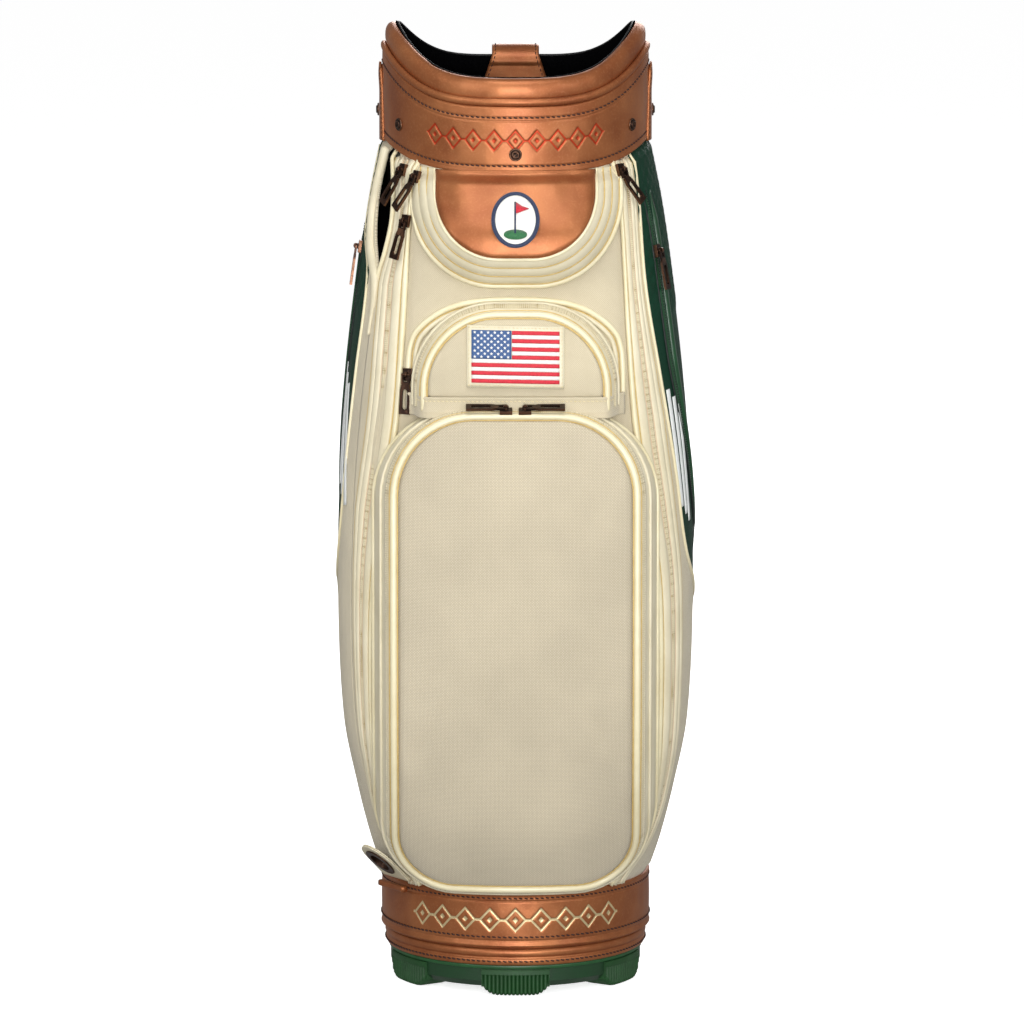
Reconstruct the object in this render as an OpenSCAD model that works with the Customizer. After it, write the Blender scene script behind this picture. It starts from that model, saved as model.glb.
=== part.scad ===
// Golf staff bag: moulded base, club tube with six-way divider, padded cuff, sewn
// skin panels, three front pockets, two side pockets, zips, spine handle and strap.
// Units are millimetres. +Z is up, -Y is the pocket side, the floor is Z = 0.

/* [Cuff and rim] */
// Top edge of the cuff band above the floor, at the front and back centre
band_top = 862; // [850:1:870]
// Rise of the rim from the front centre to the sides
saddle_rise = 43; // [20:1:48]
// Bottom edge of the cuff band above the floor, at the front and back centre
band_low = 796; // [794:1:800]
// Rise of the band's bottom edge from the front centre to the sides
low_rise = 24; // [10:1:26]
// Outside radius of the cuff band
cuff_r = 128; // [127:0.5:129]
// Height of the padded roll's section
roll_h = 24; // [18:1:26]
// Thickness of the padded roll's section
roll_t = 16; // [12:1:16]

/* [Tube and dividers] */
// Outside radius of the club tube
tube_r = 112; // [108:1:112]
// Wall of the club tube
tube_wall = 2.5; // [1.5:0.5:3]
// Top of the club tube above the floor
tube_top = 846; // [836:1:850]
// Distance of each cross bar from the tube's centre
cell_row = 36; // [30:1:40]
// Thickness of the padded divider bars
bar_t = 12; // [8:1:14]

/* [Base] */
// Outside radius of the moulded base cup
base_r = 122; // [119:0.5:122]
// Height of the feet under the base cup
foot_h = 8; // [6:1:10]
// Number of feet
foot_n = 6; // [6:1:6]
// Width of one foot
foot_w = 66; // [50:1:70]
// Outside radius of the leather bottom band
bottom_r = 131; // [129:0.5:131]
// Top of the leather bottom band above the floor
bottom_top = 104; // [100:1:104]

/* [Skin] */
// Half width of the bag where it is widest
belly = 172; // [165:1:176]
// Growth of the depth from the band to the belly
belly_depth = 24; // [16:1:28]
// Thickness of the padded skin panels
skin_t = 3; // [2:0.5:3]

/* [Front pockets] */
// Half width of the big pocket's front panel
ball_w = 122; // [114:1:124]
// Bottom of the big pocket's front panel
ball_z0 = 119; // [117:1:130]
// Top of the big pocket's front panel
ball_z1 = 573; // [560:1:574]
// How far the big pocket stands out of the bag
ball_lift = 58; // [40:1:64]
// Half width of the upper pocket's front panel
flag_w = 87; // [80:1:90]
// How far the upper pocket stands out of the bag
flag_lift = 30; // [24:1:32]
// Half width of the leather valuables panel
valu_w = 76; // [70:1:78]

/* [Strap and handle] */
// Distance of the strap's pins behind the tube's centre
pin_y = 163; // [161:1:166]
// Height of the upper strap pin
pin_z1 = 745; // [740:1:750]
// Height of the lower strap pin
pin_z0 = 330; // [325:1:340]
// How far the strap bows away from its pins
strap_bow = 36; // [32:1:40]

/* [Hidden] */
ZIPS = ["cooler", "valuables", "left_flank", "right_flank", "upper_pocket",
        "big_pocket_left", "big_pocket_right", "left_side", "right_side"];

gap = 0.4;            // clearance between pieces that only touch
seat = 1.5;           // clearance between a pocket's wall and the skin behind it
fine = 96;            // facets that OpenSCAD draws for round parts
copper = "peru";
cream = "cornsilk";
green = "darkgreen";
black = "#181818";
bronze = "#4a3a30";

// ---- smooth curves through a few stations [height, value] ----
function segment(z, s, i = 0) =
    i >= len(s) - 2 || z <= s[i + 1][0] ? i : segment(z, s, i + 1);
function slope(s, i) =
    let (lo = max(0, i - 1), hi = min(len(s) - 1, i + 1))
    (s[hi][1] - s[lo][1]) / (s[hi][0] - s[lo][0]);
function curve(z, s) =
    let (i = segment(z, s), h = s[i + 1][0] - s[i][0],
         u = max(0, min(1, (z - s[i][0]) / h)), v = u * u, w = v * u)
    (2 * w - 3 * v + 1) * s[i][1] + (w - 2 * v + u) * h * slope(s, i)
    + (3 * v - 2 * w) * s[i + 1][1] + (w - v) * h * slope(s, i + 1);
function mix(a, b, u) = a + (b - a) * u;

// ---- outer form of the bag ----
rim_r = 129;          // half width where the skin meets the cuff and the bottom band
skin_z0 = bottom_top + 1;
side_shape = [[105, 131], [140, 142], [190, 154], [260, belly - 5], [380, belly],
              [500, belly - 3], [600, belly - 11], [700, 149], [760, 140], [815, rim_r]];
function half_width(z) = curve(z, side_shape);
function bulge(z) = max(0, (half_width(z) - rim_r) / (belly - rim_r));
function half_depth(z) = rim_r + belly_depth * pow(bulge(z), 0.8);
function power(z) = 2 + 1.5 * bulge(z);

// A point of the skin: t is the angle from the front centre, towards +X.
function skin(t, z, inset = 0) =
    let (e = 2 / power(z), s = sin(t), c = cos(t))
    [(half_width(z) - inset) * sign(s) * pow(abs(s), e),
     -(half_depth(z) - inset) * sign(c) * pow(abs(c), e), z];
function skin_front(x, z) =
    let (n = power(z), k = min(1, abs(x) / half_width(z)))
    -half_depth(z) * pow(1 - pow(k, n), 1 / n);
function skin_angle(x, z) = asin(pow(min(1, x / half_width(z)), power(z) / 2));
// Heights of the cuff's edges; s is the sine of the angle from the front centre.
function saddle(s) = band_top + saddle_rise * pow(s, 4);
function cuff_low(s) = band_low + low_rise * pow(s, 4);

// Edges between the skin panels, as angles from the front centre.
seam_shape = [[105, 92], [150, 122], [200, 134], [300, 138], [400, 136], [470, 127],
              [560, 113], [640, 107], [745, 101], [800, 96]];
right_green = [[105, 112], [300, 104], [380, 88], [430, 67], [500, 59], [600, 52],
               [700, 50], [815, 60]];
left_green = [[105, 112], [300, 104], [380, 92], [430, 79], [500, 71], [600, 67],
              [700, 68], [740, 84], [815, 90]];
slit_outer = [[105, 60], [640, 58], [690, 58], [720, 66], [750, 71], [780, 72], [815, 71]];
slit_inner = [[105, 60], [640, 58], [690, 57.4], [720, 54], [750, 53], [780, 57], [815, 66]];
back_edge = 138;
function seam_angle(z) = skin_angle(curve(z, seam_shape), z);

// ---- closed solids from grids of points ----
// A panel: two grids of the same size, one for each face, joined round their edges.
module panel(face, back) {
    rows = len(face);
    cols = len(face[0]);
    n = rows * cols;
    at = function (r, c) r * cols + c;
    points = concat([for (r = face) for (p = r) p], [for (r = back) for (p = r) p]);
    cells = [for (r = [0 : rows - 2]) for (c = [0 : cols - 2])
             [at(r, c), at(r, c + 1), at(r + 1, c + 1), at(r + 1, c)]];
    rim = concat([for (c = [0 : cols - 1]) at(0, c)],
                 [for (r = [1 : rows - 1]) at(r, cols - 1)],
                 [for (c = [cols - 2 : -1 : 0]) at(rows - 1, c)],
                 [for (r = [rows - 2 : -1 : 1]) at(r, 0)]);
    m = len(rim);
    quads = concat(cells, [for (q = cells) [q[3] + n, q[2] + n, q[1] + n, q[0] + n]],
                   [for (i = [0 : m - 1])
                    [rim[(i + 1) % m], rim[i], rim[i] + n, rim[(i + 1) % m] + n]]);
    polyhedron(points, triangles(quads));
}

// A ring: a list of sections, each a closed loop of points, joined into a closed band.
module ring(sections) {
    m = len(sections);
    k = len(sections[0]);
    quads = [for (i = [0 : m - 1]) for (j = [0 : k - 1])
             [i * k + j, i * k + (j + 1) % k,
              ((i + 1) % m) * k + (j + 1) % k, ((i + 1) % m) * k + j]];
    polyhedron([for (s = sections) for (p = s) p], triangles(quads));
}
function triangles(quads) =
    [for (q = quads) each [[q[0], q[2], q[1]], [q[0], q[3], q[2]]]];

// ---- skin panels ----
function skin_grid(from, to, steps, rows, inset) =
    [for (j = [0 : rows]) let (v = j / rows, zb = mix(skin_z0, 800, v))
     [for (i = [0 : steps])
      let (t = mix(from(zb) + 0.15, to(zb) - 0.15, i / steps),
           top = cuff_low(0.98 * sin(t)) - 2 * gap)
      skin(t, mix(skin_z0, top, v), inset)]];
module skin_panel(from, to, steps, rows = 18) {
    panel(skin_grid(from, to, steps, rows, 0), skin_grid(from, to, steps, rows, skin_t));
}
module front_panel() {
    color(cream) skin_panel(function (z) -seam_angle(z), function (z) seam_angle(z), 12);
}
module left_flank() {
    color(cream) skin_panel(function (z) -curve(z, slit_inner),
                            function (z) -seam_angle(z), 4);
}
module cooler_panel() {
    color(cream) skin_panel(function (z) -curve(z, left_green),
                            function (z) -curve(z, slit_outer), 4);
}
module right_flank() {
    color(cream) skin_panel(function (z) seam_angle(z),
                            function (z) curve(z, right_green), 4);
}
module left_side_panel() {
    color(green) skin_panel(function (z) -back_edge,
                            function (z) -curve(z, left_green), 6);
}
module right_side_panel() {
    color(green) skin_panel(function (z) curve(z, right_green),
                            function (z) back_edge, 7);
}
module back_panel() {
    color(cream) skin_panel(function (z) back_edge, function (z) 360 - back_edge, 10);
}

// Black lining of the cooler pocket: a wall against the tube and a floor.
cooler_z = 650;
cooler_from = 185;    // the liner's two ends, as angles from +X
cooler_to = 230;
cooler_h = 122;
module cooler_liner() {
    r0 = tube_r + 0.5;
    color(black) translate([0, 0, cooler_z]) {
        rotate(cooler_from) rotate_extrude(angle = cooler_to - cooler_from, $fn = fine)
            polygon([[r0, 0], [r0 + 27, 0], [r0 + 27, 2], [r0 + 2, 2],
                     [r0 + 2, cooler_h], [r0, cooler_h]]);
        for (a = [cooler_from, cooler_to - 1]) rotate(a)
            rotate_extrude(angle = 1, $fn = fine)
                translate([r0 + 1, 1]) square([18, cooler_h - 1]);
    }
}

// ---- base ----
cup_wall = 3;
cup_top = 103;
module base_cup() {
    chamfer = 6;
    color(green) difference() {
        union() {
            translate([0, 0, foot_h])
                cylinder(r1 = base_r - chamfer, r2 = base_r, h = chamfer, $fn = fine);
            translate([0, 0, foot_h + chamfer])
                cylinder(r = base_r, h = cup_top - foot_h - chamfer, $fn = fine);
        }
        translate([0, 0, foot_h + 4])
            cylinder(r = base_r - cup_wall, h = cup_top, $fn = fine);
    }
}
module foot() {
    rib_n = 16;
    rib_w = foot_w / rib_n;
    difference() {
        intersection() {
            difference() {
                cylinder(r = base_r + 3, h = 26, $fn = fine);
                translate([0, 0, -1]) cylinder(r = base_r - 26, h = 30, $fn = fine);
                translate([0, 0, foot_h - gap])
                    cylinder(r = base_r + gap, h = 30, $fn = fine);
            }
            translate([-foot_w / 2, -base_r - 10, 0]) rotate([90, 0, 0])
                translate([0, 0, -45]) linear_extrude(60)
                    polygon([[18, 0], [foot_w - 18, 0], [foot_w - 7, 5], [foot_w, 14],
                             [foot_w, 26], [0, 26], [0, 14], [7, 5]]);
        }
        for (i = [1 : rib_n - 1])
            translate([-foot_w / 2 + i * rib_w, -base_r - 4.4, -1]) rotate(45)
                translate([-1, -1, 0]) cube([2, 2, 24]);
    }
}
module base_feet() {
    color("#1d4a2a") for (i = [0 : foot_n - 1]) rotate(360 / foot_n * i) foot();
}
module floor_pad() {
    color(black) translate([0, 0, foot_h + 4 + gap])
        cylinder(r = tube_r - tube_wall - 0.5, h = 8, $fn = fine);
}
module band(r, t, z0, z1) {
    translate([0, 0, z0]) difference() {
        cylinder(r = r, h = z1 - z0, $fn = fine);
        translate([0, 0, -1]) cylinder(r = r - t, h = z1 - z0 + 2, $fn = fine);
    }
}
module bottom_band() {
    color(copper) band(bottom_r, bottom_r - base_r - gap, 50, bottom_top);
}
module bottom_trim() {
    color(copper) band(base_r + 4.2, 4, 31, 50 - gap);
}

// ---- tube and dividers ----
module inner_tube() {
    color(black) band(tube_r, tube_wall, foot_h + 4 + gap, tube_top);
}
rod_r = 4;
rod_ring = tube_r + 2 + rod_r;
module stay_rods() {
    color("silver") for (t = [35, 145, 215, 325])
        rotate(t) translate([0, -rod_ring, cup_top + 1])
            cylinder(r = rod_r, h = ring_z - cup_top - 2, $fn = 24);
}
ring_z = 775;
module top_ring() {
    color(black) band(cuff_r - 4.4, cuff_r - 4.4 - tube_r - gap, ring_z, band_low - 1);
}
cell_r = tube_r - tube_wall - 0.3;
bar_h = 24;
// One long bar and four half cross bars, each a solid of its own.
module divider_grid() {
    half = bar_t / 2;
    color(black) translate([0, 0, tube_top - bar_h]) intersection() {
        cylinder(r = cell_r, h = bar_h, $fn = fine);
        union() {
            translate([-half, -tube_r, 0]) cube([bar_t, 2 * tube_r, bar_h]);
            for (y = [-cell_row, cell_row]) for (x = [-tube_r, half + gap / 2])
                translate([x, y - half, 0]) cube([tube_r - half - gap / 2, bar_t, bar_h]);
        }
    }
}
sheet_z0 = foot_h + 4 + gap + 8 + gap;
sheet_z1 = tube_top - bar_h - gap;
module divider_sheets() {
    reach = sqrt(pow(cell_r, 2) - pow(cell_row + 1, 2));
    color(black) {
        translate([-0.75, -cell_r + 1, sheet_z0])
            cube([1.5, 2 * cell_r - 2, sheet_z1 - sheet_z0]);
        for (y = [-cell_row, cell_row]) for (side = [-1, 1])
            translate([side > 0 ? 1.2 : -reach, y - 0.75, sheet_z0])
                cube([reach - 1.2, 1.5, sheet_z1 - sheet_z0]);
    }
}

// ---- cuff ----
module saddle_ring(r0, r1, low, high) {
    xs = [for (i = [0 : 32]) mix(-r1 - 2, r1 + 2, i / 32)];
    at = function (x) min(1, abs(x) / r1);
    intersection() {
        difference() {
            translate([0, 0, 700]) cylinder(r = r1, h = 300, $fn = fine);
            translate([0, 0, 699]) cylinder(r = r0, h = 302, $fn = fine);
        }
        translate([0, 150, 0]) rotate([90, 0, 0]) linear_extrude(300)
            polygon(concat([for (x = xs) [x, low(at(x))]],
                           [for (i = [len(xs) - 1 : -1 : 0]) [xs[i], high(at(xs[i]))]]));
    }
}
module cuff_band() {
    color(copper) saddle_ring(cuff_r - 4, cuff_r, function (s) cuff_low(s),
                              function (s) saddle(s));
}
module cuff_core() {
    color("dimgray") saddle_ring(cuff_r - 10, cuff_r - 4.3, function (s) band_low,
                                 function (s) saddle(s) - 1);
}
module cuff_lining() {
    color(black) saddle_ring(tube_r + 1, cuff_r - 10.3, function (s) band_low,
                             function (s) saddle(s) - 1);
}
// A padded roll that follows the rim: an oval section at each angle round the bag.
module rim_roll(r, z_over, half_t, half_h, sections, sides) {
    ring([for (i = [0 : sections - 1]) let (t = 360 / sections * i)
          [for (j = [0 : sides - 1]) let (q = -360 / sides * j, rr = r + half_t * cos(q))
           [rr * sin(t), -rr * cos(t), saddle(sin(t)) + z_over + half_h * sin(q)]]]);
}
roll_r = cuff_r - 3 - roll_t / 2;
module cuff_roll() {
    color(copper) rim_roll(roll_r, roll_h / 2 + 1, roll_t / 2, roll_h / 2, 60, 12);
}
module cuff_welt() {
    color(copper) rim_roll(cuff_r - 1.6, 4, 3, 3.6, 60, 8);
}
tab_r = cuff_r + 0.4;
module cuff_side_tabs() {
    color(copper) intersection() {
        band(tab_r + 2.6, 2.6, 800, 900);
        for (side = [-1, 1]) translate([side * 100, 0, 0]) rotate([0, side * 90, 0])
            mirror([side > 0 ? 1 : 0, 0, 0]) linear_extrude(60)
                polygon([[820, -24], [886, -13], [892, 0], [886, 13], [820, 24]]);
    }
}
stud_places = [[0, 816], [60, 838], [-60, 838], [120, 838], [-120, 838], [180, 816]];
module stud() {
    rotate([90, 0, 0]) {
        cylinder(r = 6, h = 1.4, $fn = 32);
        cylinder(r = 3.4, h = 2.6, $fn = 32);
    }
}
module cuff_studs() {
    color(bronze) {
        for (s = stud_places) rotate(s[0]) translate([0, -cuff_r - 0.2, s[1]]) stud();
        for (side = [-90, 90]) rotate(side) translate([0, -tab_r - 2.8, 846]) stud();
    }
}
handle_w = 46;
module rim_handle() {
    mid = 117;
    arch = 880;
    color(copper) intersection() {
        translate([-40, 0, 0]) rotate([90, 0, 90]) linear_extrude(80) difference() {
            union() {
                translate([mid, arch]) circle(r = 17.5, $fn = fine);
                translate([mid - 17.5, 866]) square([6, arch - 866]);
                translate([mid + 11.5, 820]) square([6, arch - 820]);
            }
            translate([mid, arch]) circle(r = 14.5, $fn = fine);
            translate([mid - 14.5, 800]) square([29, arch - 800]);
        }
        translate([0, 150, 0]) rotate([90, 0, 0]) linear_extrude(80)
            polygon([[-31, 860], [31, 860], [handle_w / 2, 892], [handle_w / 2, 900],
                     [-handle_w / 2, 900], [-handle_w / 2, 892]]);
        cylinder(r = 160, h = 1000, $fn = fine);
    }
    color(copper) translate([-handle_w / 2, mid + 14.5, 816]) cube([handle_w, 3, 44]);
}

// ---- front pockets ----
// Points of a rounded outline, counter-clockwise: half width w, height z0 to z1.
function outline(w, z0, z1, r0, r1, k = 6, m = 6) =
    let (corner = [[w - r0, z0 + r0, r0, -90], [w - r1, z1 - r1, r1, 0],
                   [-w + r1, z1 - r1, r1, 90], [-w + r0, z0 + r0, r0, 180]],
         on = function (c, q) [c[0] + c[2] * cos(c[3] + q), c[1] + c[2] * sin(c[3] + q)])
    [for (i = [0 : 3]) let (here = corner[i], next = corner[(i + 1) % 4])
     each concat([for (j = [0 : k]) on(here, 90 * j / k)],
                 [for (j = [1 : m - 1]) mix(on(here, 90), on(next, 0), j / m)])];
function on_skin(p, off) = [p[0], skin_front(p[0], p[1]) - off, p[1]];
flat_x = 0.8;         // the pockets' faces curve less than the skin behind them
function proud(x, z, lift) = [x, skin_front(flat_x * x, z) - lift, z];

ball_rise = [[ball_z0, 24], [180, 44], [260, ball_lift - 2], [380, ball_lift],
             [480, ball_lift - 6], [ball_z1, 44]];
flag_rise = [[575, flag_lift], [620, flag_lift + 2], [680, flag_lift - 10]];
valu_rise = [[720, 31], [745, 28], [770, 16], [796, 3]];
panel_t = 3;
wall = 2.5;

// Side wall of a pocket, from the skin to just behind the pocket's front panel.
module pocket_wall(front, back, inner_front, inner_back, rise) {
    ring([for (i = [0 : len(front) - 1])
          let (f = front[i], g = inner_front[i], lift_f = curve(f[1], rise) - panel_t - 2 * gap,
               lift_g = curve(g[1], rise) - panel_t - 2 * gap)
          [on_skin(back[i], seat), on_skin(inner_back[i], seat),
           proud(g[0], g[1], lift_g), proud(f[0], f[1], lift_f)]]);
}
// Front panel of a pocket: rows across a rounded outline, pushed out by rise.
function row_width(z, w, z0, z1, r0, r1) =
    z < z0 + r0 ? w - r0 + sqrt(max(0, r0 * r0 - pow(z0 + r0 - z, 2)))
    : z > z1 - r1 ? w - r1 + sqrt(max(0, r1 * r1 - pow(z - z1 + r1, 2))) : w;
module pocket_face(w, z0, z1, r0, r1, rise, cols = 12, mid = 8) {
    rows = concat([for (j = [0 : 6]) z0 + r0 * (1 - cos(15 * j))],
                  [for (j = [1 : mid - 1]) mix(z0 + r0, z1 - r1, j / mid)],
                  [for (j = [0 : 6]) z1 - r1 + r1 * sin(15 * j)]);
    face = function (off)
        [for (z = rows) let (half = row_width(z, w, z0, z1, r0, r1))
         [for (i = [0 : cols]) proud(mix(-half, half, i / cols), z, curve(z, rise) - off)]];
    panel(face(0), face(panel_t));
}
ball_r0 = 62;
ball_r1 = 82;
ball_spread = 13;     // how far the wall widens from the panel to the skin
module big_pocket_panel() {
    color(cream) pocket_face(ball_w, ball_z0, ball_z1, ball_r0, ball_r1, ball_rise);
}
module big_pocket_gusset() {
    color(cream) pocket_wall(
        outline(ball_w, ball_z0, ball_z1, ball_r0, ball_r1),
        outline(ball_w + ball_spread, ball_z0 - 6, ball_z1 + 1, ball_r0 + 16, ball_r1 + 6),
        outline(ball_w - wall, ball_z0 + wall, ball_z1 - wall, ball_r0 - wall, ball_r1 - wall),
        outline(ball_w + ball_spread - wall, ball_z0 - 6 + wall, ball_z1 + 1 - wall,
                ball_r0 + 16 - wall, ball_r1 + 6 - wall),
        ball_rise);
}
flag_z0 = 590;
flag_z1 = 668;
flag_r1 = 70;
hem_z0 = 577;         // bottom of the fixed hem strip below the panel
flag_spread = 8;
module upper_pocket_panel() {
    color(cream) pocket_face(flag_w, flag_z0, flag_z1, 2, flag_r1, flag_rise, 12, 4);
}
module upper_pocket_gusset() {
    // the arched wall, and the fixed hem strip below the opening panel
    color(cream) pocket_wall(
        outline(flag_w, hem_z0, flag_z1, 4, flag_r1),
        outline(flag_w + 10, hem_z0, flag_z1 + flag_spread, 4, flag_r1 + flag_spread),
        outline(flag_w - wall, hem_z0 + wall, flag_z1 - wall, 4 - wall, flag_r1 - wall),
        outline(flag_w + 10 - wall, hem_z0 + wall, flag_z1 + flag_spread - wall, 4 - wall,
                flag_r1 + flag_spread - wall),
        flag_rise);
    color(cream) pocket_face(flag_w, hem_z0, flag_z0 - gap, 1, 1, flag_rise, 12, 3);
}
// The flag patch lies on the upper pocket's panel.
patch_half = 46;
module flag_patch() {
    rows = [600, 615, 630, 645, 659];
    face = function (off)
        [for (z = rows) [for (i = [0 : 8])
         proud(mix(-patch_half, patch_half, i / 8), z, curve(z, flag_rise) + off)]];
    color("ivory") panel(face(3), face(0.3));
}
// U-shaped wall of the valuables pocket; its open top is under the cuff.
function u_line(w, z0, z1, r) =
    concat([for (j = [0 : 3]) [-w, mix(z1, z0 + r, j / 3)]],
           [for (j = [1 : 7]) [-w + r - r * cos(90 * j / 7), z0 + r - r * sin(90 * j / 7)]],
           [for (j = [1 : 3]) [mix(-w + r, w - r, j / 4), z0]],
           [for (j = [0 : 6]) [w - r + r * sin(90 * j / 7), z0 + r - r * cos(90 * j / 7)]],
           [for (j = [0 : 3]) [w, mix(z0 + r, z1, j / 3)]]);
valu_z0 = 722;
valu_z1 = band_low - 2;
valu_r = 60;          // radius of the panel's lower corners
valu_spread = 25;     // width of the padded bands round the panel
valu_drop = 30;
module valuables_gusset() {
    strip = function (inset)
        let (front = u_line(valu_w - inset, valu_z0 + inset, valu_z1, valu_r - inset),
             back = u_line(valu_w + valu_spread - inset, valu_z0 - valu_drop + inset, valu_z1,
                           valu_r + 22 - inset))
        [for (i = [0 : len(front) - 1]) let (f = front[i], b = back[i])
         [proud(f[0], f[1], curve(f[1], valu_rise) - 2.2 - 2 * gap), on_skin(b, gap)]];
    color(cream) panel(strip(0), strip(2));
}
module valuables_panel() {
    rows = concat([for (j = [0 : 5]) valu_z0 + valu_r * (1 - cos(18 * j))], [valu_z1]);
    face = function (off)
        [for (z = rows) let (half = row_width(z, valu_w, valu_z0, 900, valu_r, 10))
         [for (i = [0 : 14]) proud(mix(-half, half, i / 14), z, curve(z, valu_rise) - off)]];
    color(copper) panel(face(0), face(2.2));
}
emblem_z = 757;
module emblem_patch() {
    tilt = 33;
    color("white") translate([0, skin_front(0, emblem_z) - 27.4, emblem_z]) rotate([-tilt, 0, 0])
        rotate([90, 0, 0]) linear_extrude(3) scale([1, 1.3]) circle(r = 22, $fn = 48);
}

// ---- spine handle and strap ----
handle_z0 = 500;
handle_z1 = 640;
module spine_handle() {
    color(copper) translate([-15, 0, 0]) rotate([90, 0, 90]) linear_extrude(30)
        polygon([[153, handle_z0], [165, handle_z0], [187, handle_z0 + 30],
                 [187, handle_z1 - 30], [165, handle_z1], [153, handle_z1],
                 [153, handle_z1 - 14], [160, handle_z1 - 14], [175, handle_z1 - 36],
                 [175, handle_z0 + 36], [160, handle_z0 + 14], [153, handle_z0 + 14]]);
}
pin_r = 2.5;
module strap_anchor(z, back) {
    translate([-14, back, z - 17]) cube([28, 2.5, 34]);
    for (side = [-17, 14]) translate([-4, back + 2, z + side]) cube([8, pin_y + 3.5 - back - 2, 3]);
    translate([0, pin_y, z - 15]) cylinder(r = pin_r, h = 30, $fn = 32);
}
module strap_anchors() {
    color(bronze) strap_anchor(pin_z1, 140.8);
    color(bronze) strap_anchor(pin_z0, 154);
}
hook_y = pin_y + 17;
module strap_hooks() {
    color(bronze) for (z = [pin_z0, pin_z1]) translate([0, pin_y, z - 6]) difference() {
        union() {
            cylinder(r = 6.5, h = 12, $fn = 32);
            translate([-4, 0, 1]) cube([8, hook_y - pin_y - 2, 10]);
        }
        translate([0, 0, -1]) cylinder(r = pin_r + 0.08, h = 14, $fn = 32);
    }
}
function strap_y(z) = hook_y + strap_bow * sin(180 * (pin_z1 - z) / (pin_z1 - pin_z0));
module strap_strip(z0, z1, near, far, width) {
    n = 20;
    zs = [for (i = [0 : n]) mix(z0, z1, i / n)];
    translate([-width / 2, 0, 0]) rotate([90, 0, 90]) linear_extrude(width)
        polygon(concat([for (z = zs) [strap_y(z) + near, z]],
                       [for (i = [n : -1 : 0]) [strap_y(zs[i]) + far, zs[i]]]));
}
strap_w = 38;
strap_t = 3;
pad_w = 62;
pad_t = 14;
pad_z0 = 430;
pad_z1 = 640;
module shoulder_strap() {
    color(cream) strap_strip(pin_z0 - 7, pin_z1 + 7, 0, strap_t, strap_w);
}
module strap_pad() {
    color(copper) strap_strip(pad_z0, pad_z1, -pad_t, -0.3, pad_w);
}

// ---- umbrella tab: a leather tongue with an eyelet, at the left above the band ----
tab_turn = -56;
tab_tilt = 45;
tab_root = 138;
tab_z = 106;
tab_t = 3;
tab_half = 23;        // half width of the tongue and radius of its round end
eyelet_y = 27;
module on_tab() {
    rotate(tab_turn) translate([0, -tab_root, tab_z]) rotate([-tab_tilt, 0, 0]) children();
}
module tab_anchor() {
    thick = tab_root - bottom_r - 2 * gap;
    color(cream) rotate(tab_turn) translate([-22, -tab_root + gap, tab_z - 12])
        cube([44, thick, 12 - 4 * gap]);
}
module umbrella_tab() {
    fold_r = 1.4;     // bead along the fold where the tab turns
    color(cream) on_tab() {
        difference() {
            union() {
                translate([-tab_half, -eyelet_y, 0]) cube([2 * tab_half, eyelet_y, tab_t]);
                translate([0, -eyelet_y, 0]) cylinder(r = tab_half, h = tab_t, $fn = 48);
            }
            translate([0, -eyelet_y, -1]) cylinder(r = 13.3, h = tab_t + 2, $fn = 48);
        }
        translate([-20, 0, 0]) rotate([0, 90, 0]) cylinder(r = fold_r, h = 40, $fn = 32);
    }
}
eyelet_r = 11;
module umbrella_eyelet() {
    color(bronze) on_tab() translate([0, -eyelet_y, 0]) difference() {
        union() {
            translate([0, 0, -1.6]) cylinder(r = 13, h = tab_t + 3.2, $fn = 48);
            for (z = [-1.6, tab_t + 0.2]) translate([0, 0, z]) cylinder(r = 17, h = 1.4, $fn = 48);
        }
        translate([0, 0, -3]) cylinder(r = eyelet_r, h = tab_t + 6, $fn = 48);
    }
}

// ---- zips ----
// Each place: pin position, turn about Z, pitch of the track, lean of the pull.
bar_r = 1.1;
slider_off = 6.8;     // pull pin above the surface that the slider runs on
// p is a point of the surface, across and up are two directions along it.
function zip_place(p, across, up, lean) =
    let (c = cross(across, up), n = c / norm(c))
    [p + slider_off * n, atan2(n[0], -n[1]), -asin(n[2]), lean];
function zip_on_skin(t, z, lean) =
    zip_place(skin(t, z), skin(t + 1, z) - skin(t - 1, z), skin(t, z + 5) - skin(t, z - 5), lean);
function wall_point(z, u) =
    mix(on_skin([-valu_w - valu_spread, z], 0), proud(-valu_w, z, curve(z, valu_rise)), u);
function zip_on_valuables(z, u, lean) =
    zip_place(wall_point(z, u), wall_point(z, 1) - wall_point(z, 0),
              wall_point(z + 5, u) - wall_point(z - 5, u), lean);
pocket_zip = [9, -188, 583];
zip_places = [
    zip_on_skin(-51.4, 796, -25),
    zip_on_valuables(791.5, 0.35, -30),
    zip_on_skin(-42.3, 750, -9),
    zip_on_skin(46.5, 797, 32),
    zip_on_skin(-29.5, 607, 0),
    [[-pocket_zip[0], pocket_zip[1], pocket_zip[2]], 0, 0, 0],
    [pocket_zip, 0, 0, 0],
    zip_on_skin(-86, 715, 0),
    zip_on_skin(62, 718, 0)];
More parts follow.
